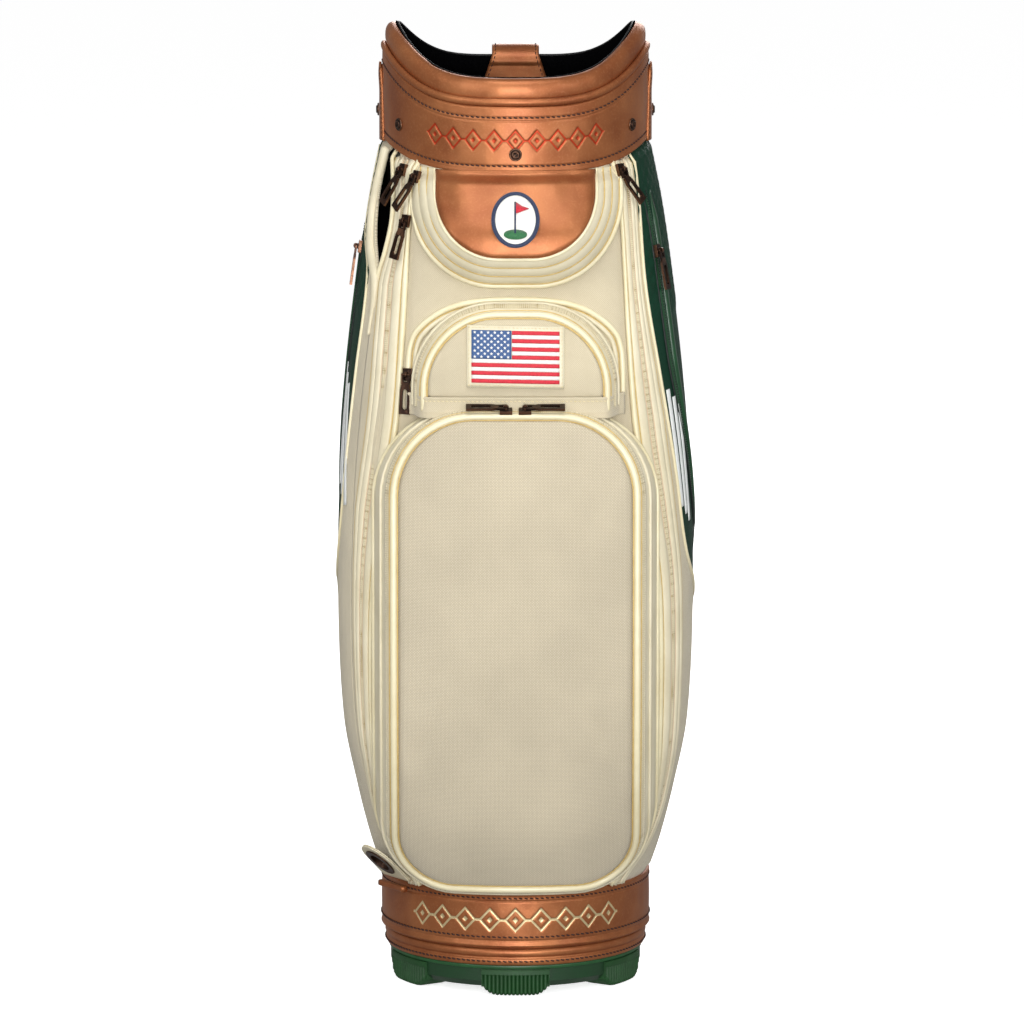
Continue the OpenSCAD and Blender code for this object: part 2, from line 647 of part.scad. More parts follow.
// The two sliders of the big pocket's zip lie on its top, with their pulls outward.
top_roll = [0, 0, 0, 0, 0, 90, -90, 0, 0];
top_lie = 72;         // how far they lean back from upright
module at_zip(i) {
    z = zip_places[i];
    translate(z[0]) rotate(z[1])
        if (top_roll[i] == 0) rotate([z[2], 0, 0]) children();
        else rotate([-top_lie, 0, 0]) rotate([0, top_roll[i], 0]) children();
}
module zip_slider() {
    difference() {
        union() {
            translate([-4.5, 2.2, -6]) cube([9, 3.6, 12]);
            translate([-1.4, 0, 0]) rotate([0, 90, 0]) cylinder(r = 2.7, h = 2.8, $fn = 32);
            translate([-1.4, 0, -2.7]) cube([2.8, 3, 5.4]);
        }
        translate([-3, 0, 0]) rotate([0, 90, 0]) cylinder(r = bar_r + 0.08, h = 6, $fn = 32);
    }
}
module zip_pull(lean) {
    link = 9;
    translate([-4.5, 0, 0]) rotate([0, 90, 0]) cylinder(r = bar_r, h = 9, $fn = 32);
    for (side = [2.1, -4.3]) translate([side, -1, -link]) cube([2.2, 2, link]);
    translate([-4.3, -1, -link]) cube([8.6, 2, 2.4]);
    translate([0, 1.2, -link + 1.2]) rotate([0, -lean, 0]) rotate([90, 0, 0])
        linear_extrude(2.4) difference() {
            polygon([[-3.2, 0], [3.2, 0], [5, -6], [5.4, -30], [-5.4, -30], [-5, -6]]);
            translate([0, -9]) circle(r = 2.6, $fn = 32);
            translate([0, -23]) circle(r = 2.6, $fn = 32);
            translate([-2.6, -23]) square([5.2, 14]);
        }
}

base_cup();
base_feet();
floor_pad();
inner_tube();
stay_rods();
top_ring();
divider_grid();
divider_sheets();
cuff_core();
cuff_band();
cuff_welt();
cuff_roll();
cuff_lining();
cuff_side_tabs();
cuff_studs();
rim_handle();
bottom_band();
bottom_trim();
front_panel();
left_flank();
cooler_panel();
cooler_liner();
right_flank();
left_side_panel();
right_side_panel();
back_panel();
spine_handle();
strap_anchors();
strap_hooks();
shoulder_strap();
strap_pad();
big_pocket_gusset();
big_pocket_panel();
upper_pocket_gusset();
upper_pocket_panel();
flag_patch();
valuables_gusset();
valuables_panel();
emblem_patch();
tab_anchor();
umbrella_tab();
umbrella_eyelet();
for (i = [0 : len(ZIPS) - 1]) {
    color(bronze) at_zip(i) zip_slider();
    color(bronze) at_zip(i) zip_pull(zip_places[i][3]);
}
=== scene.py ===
import math
import random

import bpy
import numpy as np
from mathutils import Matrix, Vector

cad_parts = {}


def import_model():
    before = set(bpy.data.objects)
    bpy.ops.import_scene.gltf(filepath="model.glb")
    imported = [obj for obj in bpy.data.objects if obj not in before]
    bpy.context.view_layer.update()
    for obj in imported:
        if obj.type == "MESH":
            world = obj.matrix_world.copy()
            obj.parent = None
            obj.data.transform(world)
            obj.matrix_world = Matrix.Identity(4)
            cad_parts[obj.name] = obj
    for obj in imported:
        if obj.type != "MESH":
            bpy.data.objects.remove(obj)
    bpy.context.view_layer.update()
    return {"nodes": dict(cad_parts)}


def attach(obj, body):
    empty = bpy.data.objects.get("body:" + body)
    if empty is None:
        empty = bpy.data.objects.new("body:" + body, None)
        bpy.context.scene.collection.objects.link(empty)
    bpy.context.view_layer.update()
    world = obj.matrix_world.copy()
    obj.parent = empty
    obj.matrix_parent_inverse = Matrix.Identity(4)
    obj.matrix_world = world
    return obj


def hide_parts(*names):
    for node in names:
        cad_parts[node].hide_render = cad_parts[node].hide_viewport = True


# Looks of a golf staff bag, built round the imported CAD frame.
# Lengths in this script are millimetres until a mesh is made; angles are degrees.
# t is the angle round the bag from its front centre, towards +X; z is the height.
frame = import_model()
random.seed(7)
MM = 0.001

# ---- driving dimensions, as in the CAD source ----
BAND_TOP, SADDLE_RISE, BAND_LOW, LOW_RISE = 862, 43, 796, 24
CUFF_R, ROLL_H, ROLL_T = 128, 24, 16
ROLL_R = CUFF_R - 3 - ROLL_T / 2
TUBE_R, TUBE_WALL, TUBE_TOP, CELL_ROW, BAR_T, BAR_H = 112, 2.5, 846, 36, 12, 24
BASE_R, BOTTOM_R, BOTTOM_TOP = 122, 131, 104
RIM_R, BELLY, BELLY_DEPTH = 129, 172, 24
BALL_W, BALL_Z0, BALL_Z1, BALL_LIFT, BALL_R0, BALL_R1 = 122, 119, 573, 58, 62, 82
FLAG_W, FLAG_Z0, FLAG_Z1, FLAG_R = 87, 590, 668, 70
VALU_W, VALU_Z0, VALU_R = 76, 722, 60
PIN_Y, PIN_Z1, PIN_Z0, STRAP_BOW = 163, 745, 330, 36
SIDE_SHAPE = [[105, 131], [140, 142], [190, 154], [260, BELLY - 5], [380, BELLY],
              [500, BELLY - 3], [600, BELLY - 11], [700, 149], [760, 140], [815, RIM_R]]
SEAM_SHAPE = [[105, 92], [150, 122], [200, 134], [300, 138], [400, 136], [470, 127],
              [560, 113], [640, 107], [745, 101], [800, 96]]
RIGHT_GREEN = [[105, 112], [300, 104], [380, 88], [430, 67], [500, 59], [600, 52],
               [700, 50], [815, 60]]
LEFT_GREEN = [[105, 112], [300, 104], [380, 92], [430, 79], [500, 71], [600, 67],
              [700, 68], [740, 84], [815, 90]]
SLIT_OUTER = [[105, 60], [640, 58], [690, 58], [720, 66], [750, 71], [780, 72], [815, 71]]
SLIT_INNER = [[105, 60], [640, 58], [690, 57.4], [720, 54], [750, 53], [780, 57], [815, 66]]
BACK_EDGE = 138
BALL_RISE = [[BALL_Z0, 24], [180, 44], [260, BALL_LIFT - 2], [380, BALL_LIFT],
             [480, BALL_LIFT - 6], [BALL_Z1, 44]]
FLAG_RISE = [[575, 30], [620, 32], [680, 20]]
VALU_RISE = [[720, 31], [745, 28], [770, 16], [796, 3]]


# ---- the bag's form ----
def curve(z, stations):
    """Smooth curve through a few [height, value] stations."""
    s = np.array(stations, float)
    z = np.asarray(z, float)
    n = len(s)
    lo = np.maximum(0, np.arange(n) - 1)
    hi = np.minimum(n - 1, np.arange(n) + 1)
    slope = (s[hi, 1] - s[lo, 1]) / (s[hi, 0] - s[lo, 0])
    i = np.clip(np.searchsorted(s[:, 0], z) - 1, 0, n - 2)
    h = s[i + 1, 0] - s[i, 0]
    u = np.clip((z - s[i, 0]) / h, 0, 1)
    v, w = u * u, u * u * u
    return ((2 * w - 3 * v + 1) * s[i, 1] + (w - 2 * v + u) * h * slope[i]
            + (3 * v - 2 * w) * s[i + 1, 1] + (w - v) * h * slope[i + 1])


def mix(a, b, u):
    return a + (b - a) * u


def ease(x, lo, hi):
    """Smooth step from 0 at lo to 1 at hi."""
    u = np.clip((np.asarray(x, float) - lo) / (hi - lo), 0, 1)
    return u * u * (3 - 2 * u)


def half_width(z):
    return curve(z, SIDE_SHAPE)


def bulge(z):
    return np.maximum(0, (half_width(z) - RIM_R) / (BELLY - RIM_R))


def half_depth(z):
    return RIM_R + BELLY_DEPTH * bulge(z) ** 0.8


def power(z):
    return 2 + 1.5 * bulge(z)


def skin(t, z, out=0.0):
    """Points of the bag's skin, moved outwards by out."""
    t, z, out = np.broadcast_arrays(np.asarray(t, float), np.asarray(z, float), out)
    s, c = np.sin(np.radians(t)), np.cos(np.radians(t))
    e = 2 / power(z)
    x = (half_width(z) + out) * np.sign(s) * np.abs(s) ** e
    y = -(half_depth(z) + out) * np.sign(c) * np.abs(c) ** e
    return np.stack([x, y, z], -1)


def skin_front(x, z):
    k = np.minimum(1, np.abs(x) / half_width(z))
    return -half_depth(z) * (1 - k ** power(z)) ** (1 / power(z))


def skin_angle(x, z):
    return np.degrees(np.arcsin(np.minimum(1, x / half_width(z)) ** (power(z) / 2)))


def seam_angle(z):
    return skin_angle(curve(z, SEAM_SHAPE), z)


def saddle(t):
    return BAND_TOP + SADDLE_RISE * np.sin(np.radians(t)) ** 4


def cuff_low(t):
    return BAND_LOW + LOW_RISE * np.sin(np.radians(t)) ** 4


# Arc lengths round the skin, tabled by height and angle.
TABLE_Z = np.arange(95, 841, 5.0)
TABLE_T = np.linspace(0, 180, 721)
ROUND = skin(TABLE_T[None, :], TABLE_Z[:, None])
STEP = np.linalg.norm(np.diff(ROUND, axis=1), axis=2)
ARCS = np.concatenate([np.zeros((len(TABLE_Z), 1)), np.cumsum(STEP, axis=1)], axis=1)
SHARES = np.linspace(0, 1, 361)
ANGLES = np.array([np.interp(SHARES * a[-1], a, TABLE_T) for a in ARCS])


def lookup(table, row, col):
    """Value of a table between its rows and columns."""
    r = np.clip(row, 0, table.shape[0] - 1.001)
    c = np.clip(col, 0, table.shape[1] - 1.001)
    i, j = r.astype(int), c.astype(int)
    u, v = r - i, c - j
    return (mix(table[i, j], table[i, j + 1], v) * (1 - u)
            + mix(table[i + 1, j], table[i + 1, j + 1], v) * u)


def arc_of(t, z):
    """Distance round the skin from the front centre to angle t, with its sign."""
    t, z = np.broadcast_arrays(np.asarray(t, float), np.asarray(z, float))
    return np.sign(t) * lookup(ARCS, (z - TABLE_Z[0]) / 5, np.abs(t) * 4)


def angle_of(s, z):
    """Angle of the skin point at distance s from the front centre."""
    s, z = np.broadcast_arrays(np.asarray(s, float), np.asarray(z, float))
    total = np.interp(z, TABLE_Z, ARCS[:, -1])
    share = np.abs(s) / total
    return np.sign(s) * lookup(ANGLES, (z - TABLE_Z[0]) / 5, share * 360)


def on_arc(s, z, out=0.0):
    return skin(angle_of(s, z), z, out)


def unit(v):
    return v / np.maximum(np.linalg.norm(v, axis=-1, keepdims=True), 1e-9)


def normals_of(surface, a, b, da=1.0, db=1.0):
    """Outward unit normals of surface(a, b), where a runs towards +X and b upwards."""
    across = surface(a + da, b) - surface(a - da, b)
    up = surface(a, b + db) - surface(a, b - db)
    return unit(np.cross(across, up))


def proud(x, z, lift):
    """Point of a pocket's face, which curves a little less than the skin."""
    x, z, lift = np.broadcast_arrays(np.asarray(x, float), np.asarray(z, float), lift)
    return np.stack([x, skin_front(0.8 * x, z) - lift, z], -1)


def on_front(x, z, off=0.0):
    x, z, off = np.broadcast_arrays(np.asarray(x, float), np.asarray(z, float), off)
    return np.stack([x, skin_front(x, z) - off, z], -1)


# ---- meshes ----
def make(name, verts, faces, paint, slot, body="bag", replaces=(), data=None, flat=False,
         fill=None):
    """A mesh object in metres, with its material, body and the nodes it stands for; slot is not used.

    fill, how full a padded piece is from 0 to 1, is not used; other pieces have none."""
    mesh = bpy.data.meshes.new(name)
    mesh.from_pydata((np.asarray(verts, float).reshape(-1, 3) * MM).tolist(), [],
                     [list(map(int, f)) for f in faces])
    mesh.polygons.foreach_set("use_smooth", [not flat] * len(mesh.polygons))
    for key, values in (data or {}).items():
        values = np.asarray(values, np.float32)
        kind = "FLOAT_VECTOR" if values.ndim > 1 else "FLOAT"
        layer = mesh.attributes.new(key, kind, "POINT")
        layer.data.foreach_set("vector" if values.ndim > 1 else "value", values.ravel())
    mesh.materials.append(paint)
    obj = bpy.data.objects.new(name, mesh)
    bpy.context.scene.collection.objects.link(obj)
    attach(obj, body)
    if replaces:
        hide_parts(*replaces)
    return obj


def cloth(across, up):
    """Cloth coordinates in millimetres, for the threads of a weave."""
    return {"cloth": np.stack(np.broadcast_arrays(across, up, 0.0), -1)}


def grid_faces(rows, cols, start=0, close=False, flip=False):
    """Quads between the points of a grid stored row by row."""
    r, c = np.meshgrid(np.arange(rows - 1), np.arange(cols if close else cols - 1),
                       indexing="ij")
    d = (c + 1) % cols
    quads = np.stack([r * cols + c, r * cols + d, (r + 1) * cols + d, (r + 1) * cols + c], -1)
    quads = quads.reshape(-1, 4) + start
    return quads[:, ::-1] if flip else quads


def grid_normals(grid, close=False):
    if close:
        across = np.roll(grid, -1, 1) - np.roll(grid, 1, 1)
    else:
        across = np.gradient(grid, axis=1)
    return unit(np.cross(across, np.gradient(grid, axis=0)))


def closed_panel(face, back, close=False):
    """Vertices and faces of a panel from two grids: its face, its back and the edges between."""
    rows, cols = face.shape[:2]
    n = rows * cols
    faces = [grid_faces(rows, cols, close=close), grid_faces(rows, cols, n, close, True)]
    if close:
        for r, turned in ((0, False), (rows - 1, True)):
            a = r * cols + np.arange(cols)
            b = r * cols + (np.arange(cols) + 1) % cols
            quads = np.stack([b, a, a + n, b + n], -1)
            faces.append(quads[:, ::-1] if turned else quads)
    else:
        rim = np.concatenate([np.arange(cols), np.arange(2, rows + 1) * cols - 1,
                              (rows - 1) * cols + np.arange(cols - 2, -1, -1),
                              np.arange(rows - 2, 0, -1) * cols])
        after = np.roll(rim, -1)
        faces.append(np.stack([after, rim, rim + n, after + n], -1))
    return np.concatenate([face.reshape(-1, 3), back.reshape(-1, 3)]), np.concatenate(faces)


def shell(name, grid, thick, paint, slot, close=False, data=None, **extra):
    """A sewn panel of even thickness behind a grid of outer points."""
    verts, faces = closed_panel(grid, grid - grid_normals(grid, close) * thick, close)
    if data:
        n = len(verts) // 2
        data = {k: np.concatenate([v.reshape(n, -1)] * 2).squeeze() for k, v in data.items()}
    return make(name, verts, faces, paint, slot, data=data, **extra)


def oval(half_out, half_side, n=12, sharp=2.0):
    """Section round a path: half its size outwards and half its size sideways."""
    a = np.linspace(0, 2 * math.pi, n, endpoint=False)
    e = 2 / sharp
    return np.stack([half_out * np.sign(np.cos(a)) * np.abs(np.cos(a)) ** e,
                     half_side * np.sign(np.sin(a)) * np.abs(np.sin(a)) ** e], -1)


def path_frames(path, outward, close=False):
    if close:
        along = unit(np.roll(path, -1, 0) - np.roll(path, 1, 0))
    else:
        along = unit(np.gradient(path, axis=0))
    side = unit(np.cross(along, outward))
    return along, np.cross(side, along), side


def sweep_points(path, outward, section, close=False, swell=None):
    """Vertices and faces of a section swept along a path. outward is its surface normal."""
    path, outward = np.asarray(path, float), np.asarray(outward, float)
    along, out, side = path_frames(path, outward, close)
    section = np.asarray(section, float)
    if section.ndim == 2:
        section = np.repeat(section[None], len(path), 0)
    if swell is not None:
        section = section * np.asarray(swell)[:, None, None]
    verts = (path[:, None] + out[:, None] * section[..., :1]
             + side[:, None] * section[..., 1:])
    n, k = section.shape[:2]
    verts = verts.reshape(-1, 3)
    if close:
        ring = grid_faces(n + 1, k, close=True) % (n * k)
        return verts, list(ring)
    faces = list(grid_faces(n, k, close=True))
    faces.append(np.arange(k)[::-1])
    faces.append(np.arange(k) + (n - 1) * k)
    return verts, faces


def join(parts):
    """Several (vertices, faces) as one."""
    verts, faces, start = [], [], 0
    for v, f in parts:
        verts.append(v)
        faces.extend([np.asarray(q) + start for q in f])
        start += len(v)
    return np.concatenate(verts), faces


def made_of(name, parts, paint, slot, **extra):
    """One object from several (vertices, faces)."""
    verts, faces = join(parts)
    return make(name, verts, faces, paint, slot, **extra)


def plate(front, back):
    """Vertices and faces of a flat piece between two outlines."""
    n = len(front)
    faces = [list(range(n)), list(range(2 * n - 1, n - 1, -1))]
    faces += [[(i + 1) % n, i, i + n, (i + 1) % n + n] for i in range(n)]
    return np.concatenate([front, back]), faces


def sweep(name, path, outward, section, paint, slot, close=False, swell=None, **extra):
    verts, faces = sweep_points(path, outward, section, close, swell)
    return make(name, verts, faces, paint, slot, **extra)


def spaced(path, outward, pitch, close=False):
    """The path and its normals again at points one pitch apart."""
    path, outward = np.asarray(path, float), np.asarray(outward, float)
    if close:
        path = np.vstack([path, path[:1]])
        outward = np.vstack([outward, outward[:1]])
    run = np.concatenate([[0], np.cumsum(np.linalg.norm(np.diff(path, axis=0), axis=1))])
    n = max(3, int(round(run[-1] / pitch)))
    at = np.linspace(0, run[-1], n, endpoint=not close)
    pts = np.stack([np.interp(at, run, path[:, i]) for i in range(3)], -1)
    nor = unit(np.stack([np.interp(at, run, outward[:, i]) for i in range(3)], -1))
    return pts, nor


def stitches(name, lines, paint, slot, pitch=4.6, length=3.2, r=0.55, lean=12, **extra):
    """Rows of sewn stitches: one short round thread after another along each line."""
    parts = []
    k, turns = 6, (-1, -0.8, 0, 0.8, 1)
    fat = (0.35, 0.85, 1.0, 0.85, 0.35)
    sink = (0.9, 0.25, 0.0, 0.25, 0.9)
    tilt = math.tan(math.radians(lean))
    quads = [list(q) for q in grid_faces(len(turns), k, close=True)]
    quads += [list(range(k))[::-1], [k * (len(turns) - 1) + i for i in range(k)]]
    for path, outward, close in lines:
        p, n = spaced(path, outward, pitch, close)
        along, out, side = path_frames(p, n, close)
        a = np.linspace(0, 2 * math.pi, k, endpoint=False)
        rows = []
        for u, f, s in zip(turns, fat, sink):
            mid = p + along * (u * length / 2) + side * (u * length / 2 * tilt) - out * s * r
            ring = (mid[:, None] + out[:, None] * (np.cos(a) * r * f)[None, :, None]
                    + side[:, None] * (np.sin(a) * r * f)[None, :, None])
            rows.append(ring)
        verts = np.stack(rows, 1)
        for v in verts:
            parts.append((v.reshape(-1, 3), quads))
    return made_of(name, parts, paint, slot, **extra)


def lathe(name, profile, paint, slot, steps=192, warp=None, **extra):
    """A closed profile of (radius, height) points, turned round the bag's axis."""
    profile = np.asarray(profile, float)
    t = np.radians(np.linspace(0, 360, steps, endpoint=False))
    r = np.repeat(profile[None, :, 0], steps, 0)
    z = np.repeat(profile[None, :, 1], steps, 0)
    if warp is not None:
        r, z = warp(np.degrees(t)[:, None], r, z)
    verts = np.stack([r * np.sin(t)[:, None], -r * np.cos(t)[:, None], z], -1)
    faces = grid_faces(steps + 1, len(profile), close=True, flip=True) % (steps * len(profile))
    return make(name, verts, faces, paint, slot, **extra)


def inflate(obj, edge, cap, frames=14):
    """Fills a panel by cloth simulation, with its edge and its back held, then applies it.

    edge marks the held points of the panel's face; cap is the most that a point may move."""
    group = obj.vertex_groups.new(name="held")
    held = np.concatenate([edge.ravel(), np.ones(edge.size, bool)])
    for i in np.nonzero(held)[0]:
        group.add([int(i)], 1.0, "REPLACE")
    mod = obj.modifiers.new("fill", "CLOTH")
    s = mod.settings
    s.quality = 6
    s.mass = 0.3
    s.tension_stiffness = s.compression_stiffness = 25
    s.shear_stiffness = 8
    s.bending_stiffness = 4
    s.use_pressure = True
    s.uniform_pressure_force = 4
    s.vertex_group_mass = "held"
    s.effector_weights.gravity = 0
    mod.point_cache.frame_start = 1
    mod.point_cache.frame_end = frames
    scene = bpy.context.scene
    for f in range(1, frames + 1):
        scene.frame_set(f)
    evaluated = obj.evaluated_get(bpy.context.evaluated_depsgraph_get())
    count = len(obj.data.vertices)
    new = np.empty(count * 3)
    evaluated.data.vertices.foreach_get("co", new)
    old = np.empty(count * 3)
    obj.data.vertices.foreach_get("co", old)
    step = (new - old).reshape(-1, 3)
    size = np.linalg.norm(step, axis=1, keepdims=True)
    limit = cap * MM
    step *= limit * np.tanh(size / limit) / np.maximum(size, 1e-9)
    obj.modifiers.remove(mod)
    obj.vertex_groups.remove(group)
    obj.data.vertices.foreach_set("co", old + step.ravel())
    obj.data.update()
    scene.frame_set(1)


# ---- materials ----
def linear(rgb):
    """An sRGB colour of 0 to 255 as linear light."""
    c = np.array(rgb, float) / 255
    c = np.where(c <= 0.04045, c / 12.92, ((c + 0.055) / 1.055) ** 2.4)
    return (*c.tolist(), 1.0)


class Paint:
    """A material with its shader, and short ways to add texture nodes to it."""

    def __init__(self, name, roughness=0.5, metallic=0.0, **sockets):
        self.mat = bpy.data.materials.new(name)
        self.mat.use_nodes = True
        self.tree = self.mat.node_tree
        self.shader = self.tree.nodes["Principled BSDF"]
        self.set(Roughness=roughness, Metallic=metallic)
        for key, value in sockets.items():
            self.set(**{key: value})
        self.place = self.add("ShaderNodeTexCoord").outputs["Object"]

    def set(self, **sockets):
        for key, value in sockets.items():
            self.shader.inputs[key.replace("_", " ")].default_value = value

    def add(self, kind, **settings):
        node = self.tree.nodes.new(kind)
        for key, value in settings.items():
            setattr(node, key, value)
        return node

    def link(self, value, socket):
        if isinstance(value, (int, float, tuple)):
            socket.default_value = value
        else:
            self.tree.links.new(value, socket)

    def math(self, op, a, b=0.0, clamp=False):
        node = self.add("ShaderNodeMath", operation=op, use_clamp=clamp)
        self.link(a, node.inputs[0])
        self.link(b, node.inputs[1])
        return node.outputs[0]

    def noise(self, size, detail=3.0, where=None, rough=0.55):
        """Noise whose features are about size millimetres."""
        node = self.add("ShaderNodeTexNoise")
        self.link(self.place if where is None else where, node.inputs["Vector"])
        node.inputs["Scale"].default_value = 1 / (size * MM) if where is None else 1 / size
        node.inputs["Detail"].default_value = detail
        node.inputs["Roughness"].default_value = rough
        return node.outputs["Fac"]

    def cells(self, size, feature="F1"):
        node = self.add("ShaderNodeTexVoronoi", feature=feature)
        self.link(self.place, node.inputs["Vector"])
        node.inputs["Scale"].default_value = 1 / (size * MM)
        return node.outputs["Distance"]

    def blend(self, share, a, b):
        node = self.add("ShaderNodeMix", data_type="RGBA")
        self.link(share, node.inputs["Factor"])
        self.link(a, node.inputs[6])
        self.link(b, node.inputs[7])
        return node.outputs[2]

    def span(self, value, lo, hi, to_lo=0.0, to_hi=1.0):
        node = self.add("ShaderNodeMapRange")
        self.link(value, node.inputs["Value"])
        for key, number in (("From Min", lo), ("From Max", hi), ("To Min", to_lo),
                            ("To Max", to_hi)):
            node.inputs[key].default_value = number
        return node.outputs["Result"]

    def attribute(self, name, output="Fac"):
        return self.add("ShaderNodeAttribute", attribute_name=name).outputs[output]

    def split(self, vector):
        node = self.add("ShaderNodeSeparateXYZ")
        self.link(vector, node.inputs[0])
        return node.outputs

    def bump(self, height, depth, under=None):
        """Bump from a 0 to 1 height, depth millimetres deep."""
        node = self.add("ShaderNodeBump")
        self.link(height, node.inputs["Height"])
        node.inputs["Distance"].default_value = depth * MM
        if under is not None:
            self.link(under, node.inputs["Normal"])
        return node.outputs["Normal"]

    def done(self, colour=None, normal=None, rough=None):
        for value, key in ((colour, "Base Color"), (normal, "Normal"), (rough, "Roughness")):
            if value is not None:
                self.link(value, self.shader.inputs[key])
        return self.mat


def leather(name, main, light, dark, roughness, metallic=0.0, coat=0.0, grain=1.0,
            depth=0.10, folds=2.2, inked=None):
    """Grained leather with soft wrinkles, lighter in fine random flecks."""
    p = Paint(name, roughness, metallic, Coat_Weight=coat, Coat_Roughness=0.3)
    pores = p.cells(grain)
    broad = p.noise(46, 2)
    fine = p.noise(2.2, 3)
    colour = p.blend(p.span(broad, 0.3, 0.7), linear(dark), linear(main))
    colour = p.blend(p.span(fine, 0.5, 0.8, 0, 0.3), colour, linear(light))
    rough = p.span(fine, 0.3, 0.7, roughness - 0.03, roughness + 0.05)
    if inked is not None:
        ink = p.span(p.attribute("ink"), 0.35, 0.65)
        colour = p.blend(ink, colour, p.blend(p.noise(3, 3), linear(inked[0]), linear(inked[1])))
    normal = p.bump(broad, folds)
    normal = p.bump(p.noise(12, 2), 0.25, normal)
    normal = p.bump(pores, depth, normal)
    return p.done(colour, normal, rough)


def weave(name, warp, weft, gap, pitch, depth, roughness=0.8, sheen=0.25, gloss=0.5,
          tone=(0.9, 1.08)):
    """Plain weave from the cloth coordinates: threads pass over and under each other, with the gap
    colour as painted shade in the grooves between them.
    """
    p = Paint(name, roughness, Sheen_Weight=sheen, Specular_IOR_Level=gloss)
    x, y = p.split(p.attribute("cloth", "Vector"))[:2]
    wobble = p.span(p.noise(14, 2), 0.3, 0.7, -0.12, 0.12)
    u = p.math("ADD", p.math("DIVIDE", x, pitch), wobble)
    v = p.math("ADD", p.math("DIVIDE", y, pitch), wobble)
    cell = p.math("ADD", p.math("FLOOR", u), p.math("FLOOR", v))
    over = p.math("FLOORED_MODULO", cell, 2.0)
    hump_u = p.math("SINE", p.math("MULTIPLY", p.math("FRACT", u), math.pi))
    hump_v = p.math("SINE", p.math("MULTIPLY", p.math("FRACT", v), math.pi))
    up = p.math("MULTIPLY", hump_u, p.span(hump_v, 0, 1, 0.55, 1))
    flat = p.math("MULTIPLY", hump_v, p.span(hump_u, 0, 1, 0.55, 1))
    height = p.math("ADD", p.math("MULTIPLY", up, over),
                    p.math("MULTIPLY", flat, p.math("SUBTRACT", 1.0, over)))
    colour = p.blend(over, linear(weft), linear(warp))
    # painted shade: where the threads dip into the grooves between them, the colour darkens to gap
    colour = p.blend(p.span(height, 0.0, 0.55), linear(gap), colour)
    large = p.add("ShaderNodeHueSaturation")
    p.link(p.span(p.noise(120, 3), 0.3, 0.7, *tone), large.inputs["Value"])
    p.link(colour, large.inputs["Color"])
    normal = p.bump(p.noise(60, 2), 2.5)
    normal = p.bump(height, depth, normal)
    rough = p.span(height, 0, 1, roughness + 0.1, roughness - 0.05)
    return p.done(large.outputs["Color"], normal, rough)


def plain(name, main, other, roughness, metallic=0.0, size=6.0, depth=0.08, fine=1.2,
          **sockets):
    """A finish with slight colour change and a fine surface."""
    p = Paint(name, roughness, metallic, **sockets)
    broad = p.noise(size, 4)
    colour = p.blend(p.span(broad, 0.3, 0.7), linear(main), linear(other))
    normal = p.bump(p.noise(fine, 3), depth)
    rough = p.span(broad, 0.3, 0.7, roughness - 0.05, roughness + 0.07)
    return p.done(colour, normal, rough)


def fleece(name, main, tip):
    p = Paint(name, 0.95, Specular_IOR_Level=0.0)
    fibre = p.noise(1.6, 6, rough=0.7)
    clump = p.noise(9, 3)
    colour = p.blend(p.span(fibre, 0.4, 0.75), linear(main), linear(tip))
    return p.done(colour, p.bump(fibre, 0.45, p.bump(clump, 0.8)))


def antique(name):
    """Dark plated metal, rubbed brighter where it is exposed."""
    p = Paint(name, 0.4, 0.85)
    worn = p.add("ShaderNodeNewGeometry").outputs["Pointiness"]
    edge = p.math("ADD", p.span(worn, 0.52, 0.62), p.span(p.noise(3, 5), 0.55, 0.8, 0, 0.6),
                  clamp=True)
    colour = p.blend(edge, linear((46, 32, 27)), linear((126, 90, 68)))
    return p.done(colour, p.bump(p.noise(1.0, 4), 0.05),
                  p.span(p.noise(4, 4), 0.3, 0.7, 0.27, 0.45))


COPPER_TONES = ((176, 110, 66), (202, 140, 95), (146, 81, 44))
COPPER = leather("copper_leather", *COPPER_TONES, 0.42, metallic=0.66, coat=0.12, depth=0.06)
COPPER_CUFF = leather("copper_cuff", *COPPER_TONES, 0.42, metallic=0.66, coat=0.12, depth=0.06,
                      inked=((186, 62, 24), (168, 50, 18)))
COPPER_BASE = leather("copper_base", *COPPER_TONES, 0.42, metallic=0.66, coat=0.12, depth=0.06,
                      inked=((222, 204, 160), (202, 180, 134)))
CREAM = leather("cream_leather", (222, 213, 186), (230, 223, 200), (210, 200, 170), 0.46,
                coat=0.05, grain=0.9, depth=0.03, folds=1.2)
CREAM_GLOSS = leather("cream_piping", (230, 221, 188), (238, 231, 204), (220, 208, 170), 0.34,
                      coat=0.2, grain=0.9, depth=0.02, folds=0.6)
GOLD_LINE = plain("golden_welt", (204, 178, 116), (190, 160, 94), 0.5, size=5)
ROSE_LINE = plain("rose_tape_edge", (214, 190, 160), (204, 178, 146), 0.6, size=5)
# In each weave call the third colour, gap, is painted shade for the grooves between threads.
TAPE = weave("zip_tape", (214, 204, 174), (204, 192, 158), (160, 140, 98), 0.9, 0.1, 0.7)
COIL = plain("zip_coil", (226, 218, 190), (212, 200, 168), 0.4, size=4)
BALLISTIC = weave("ballistic_weave", (212, 202, 180), (198, 186, 160), (148, 132, 100),
                  1.25, 0.22)
FABRIC = weave("upper_weave", (216, 206, 180), (204, 192, 164), (160, 142, 106), 1.0, 0.14)
FLANK_FABRIC = weave("flank_weave", (216, 206, 180), (204, 193, 166), (162, 146, 110),
                     1.0, 0.14)
GREEN = weave("green_coated_weave", (12, 60, 40), (9, 50, 34), (5, 28, 20), 1.2, 0.1,
              roughness=0.55, sheen=0.0, gloss=0.22, tone=(0.8, 1.1))
GREEN_BRIGHT = leather("green_leather", (14, 70, 36), (24, 86, 46), (8, 50, 24), 0.34,
                       coat=0.25, grain=1.0, depth=0.05)
SEAM_DARK = plain("dark_seam", (8, 24, 18), (5, 16, 12), 0.6, size=4)
FLEECE = fleece("black_fleece", (3, 3, 4), (13, 13, 14))
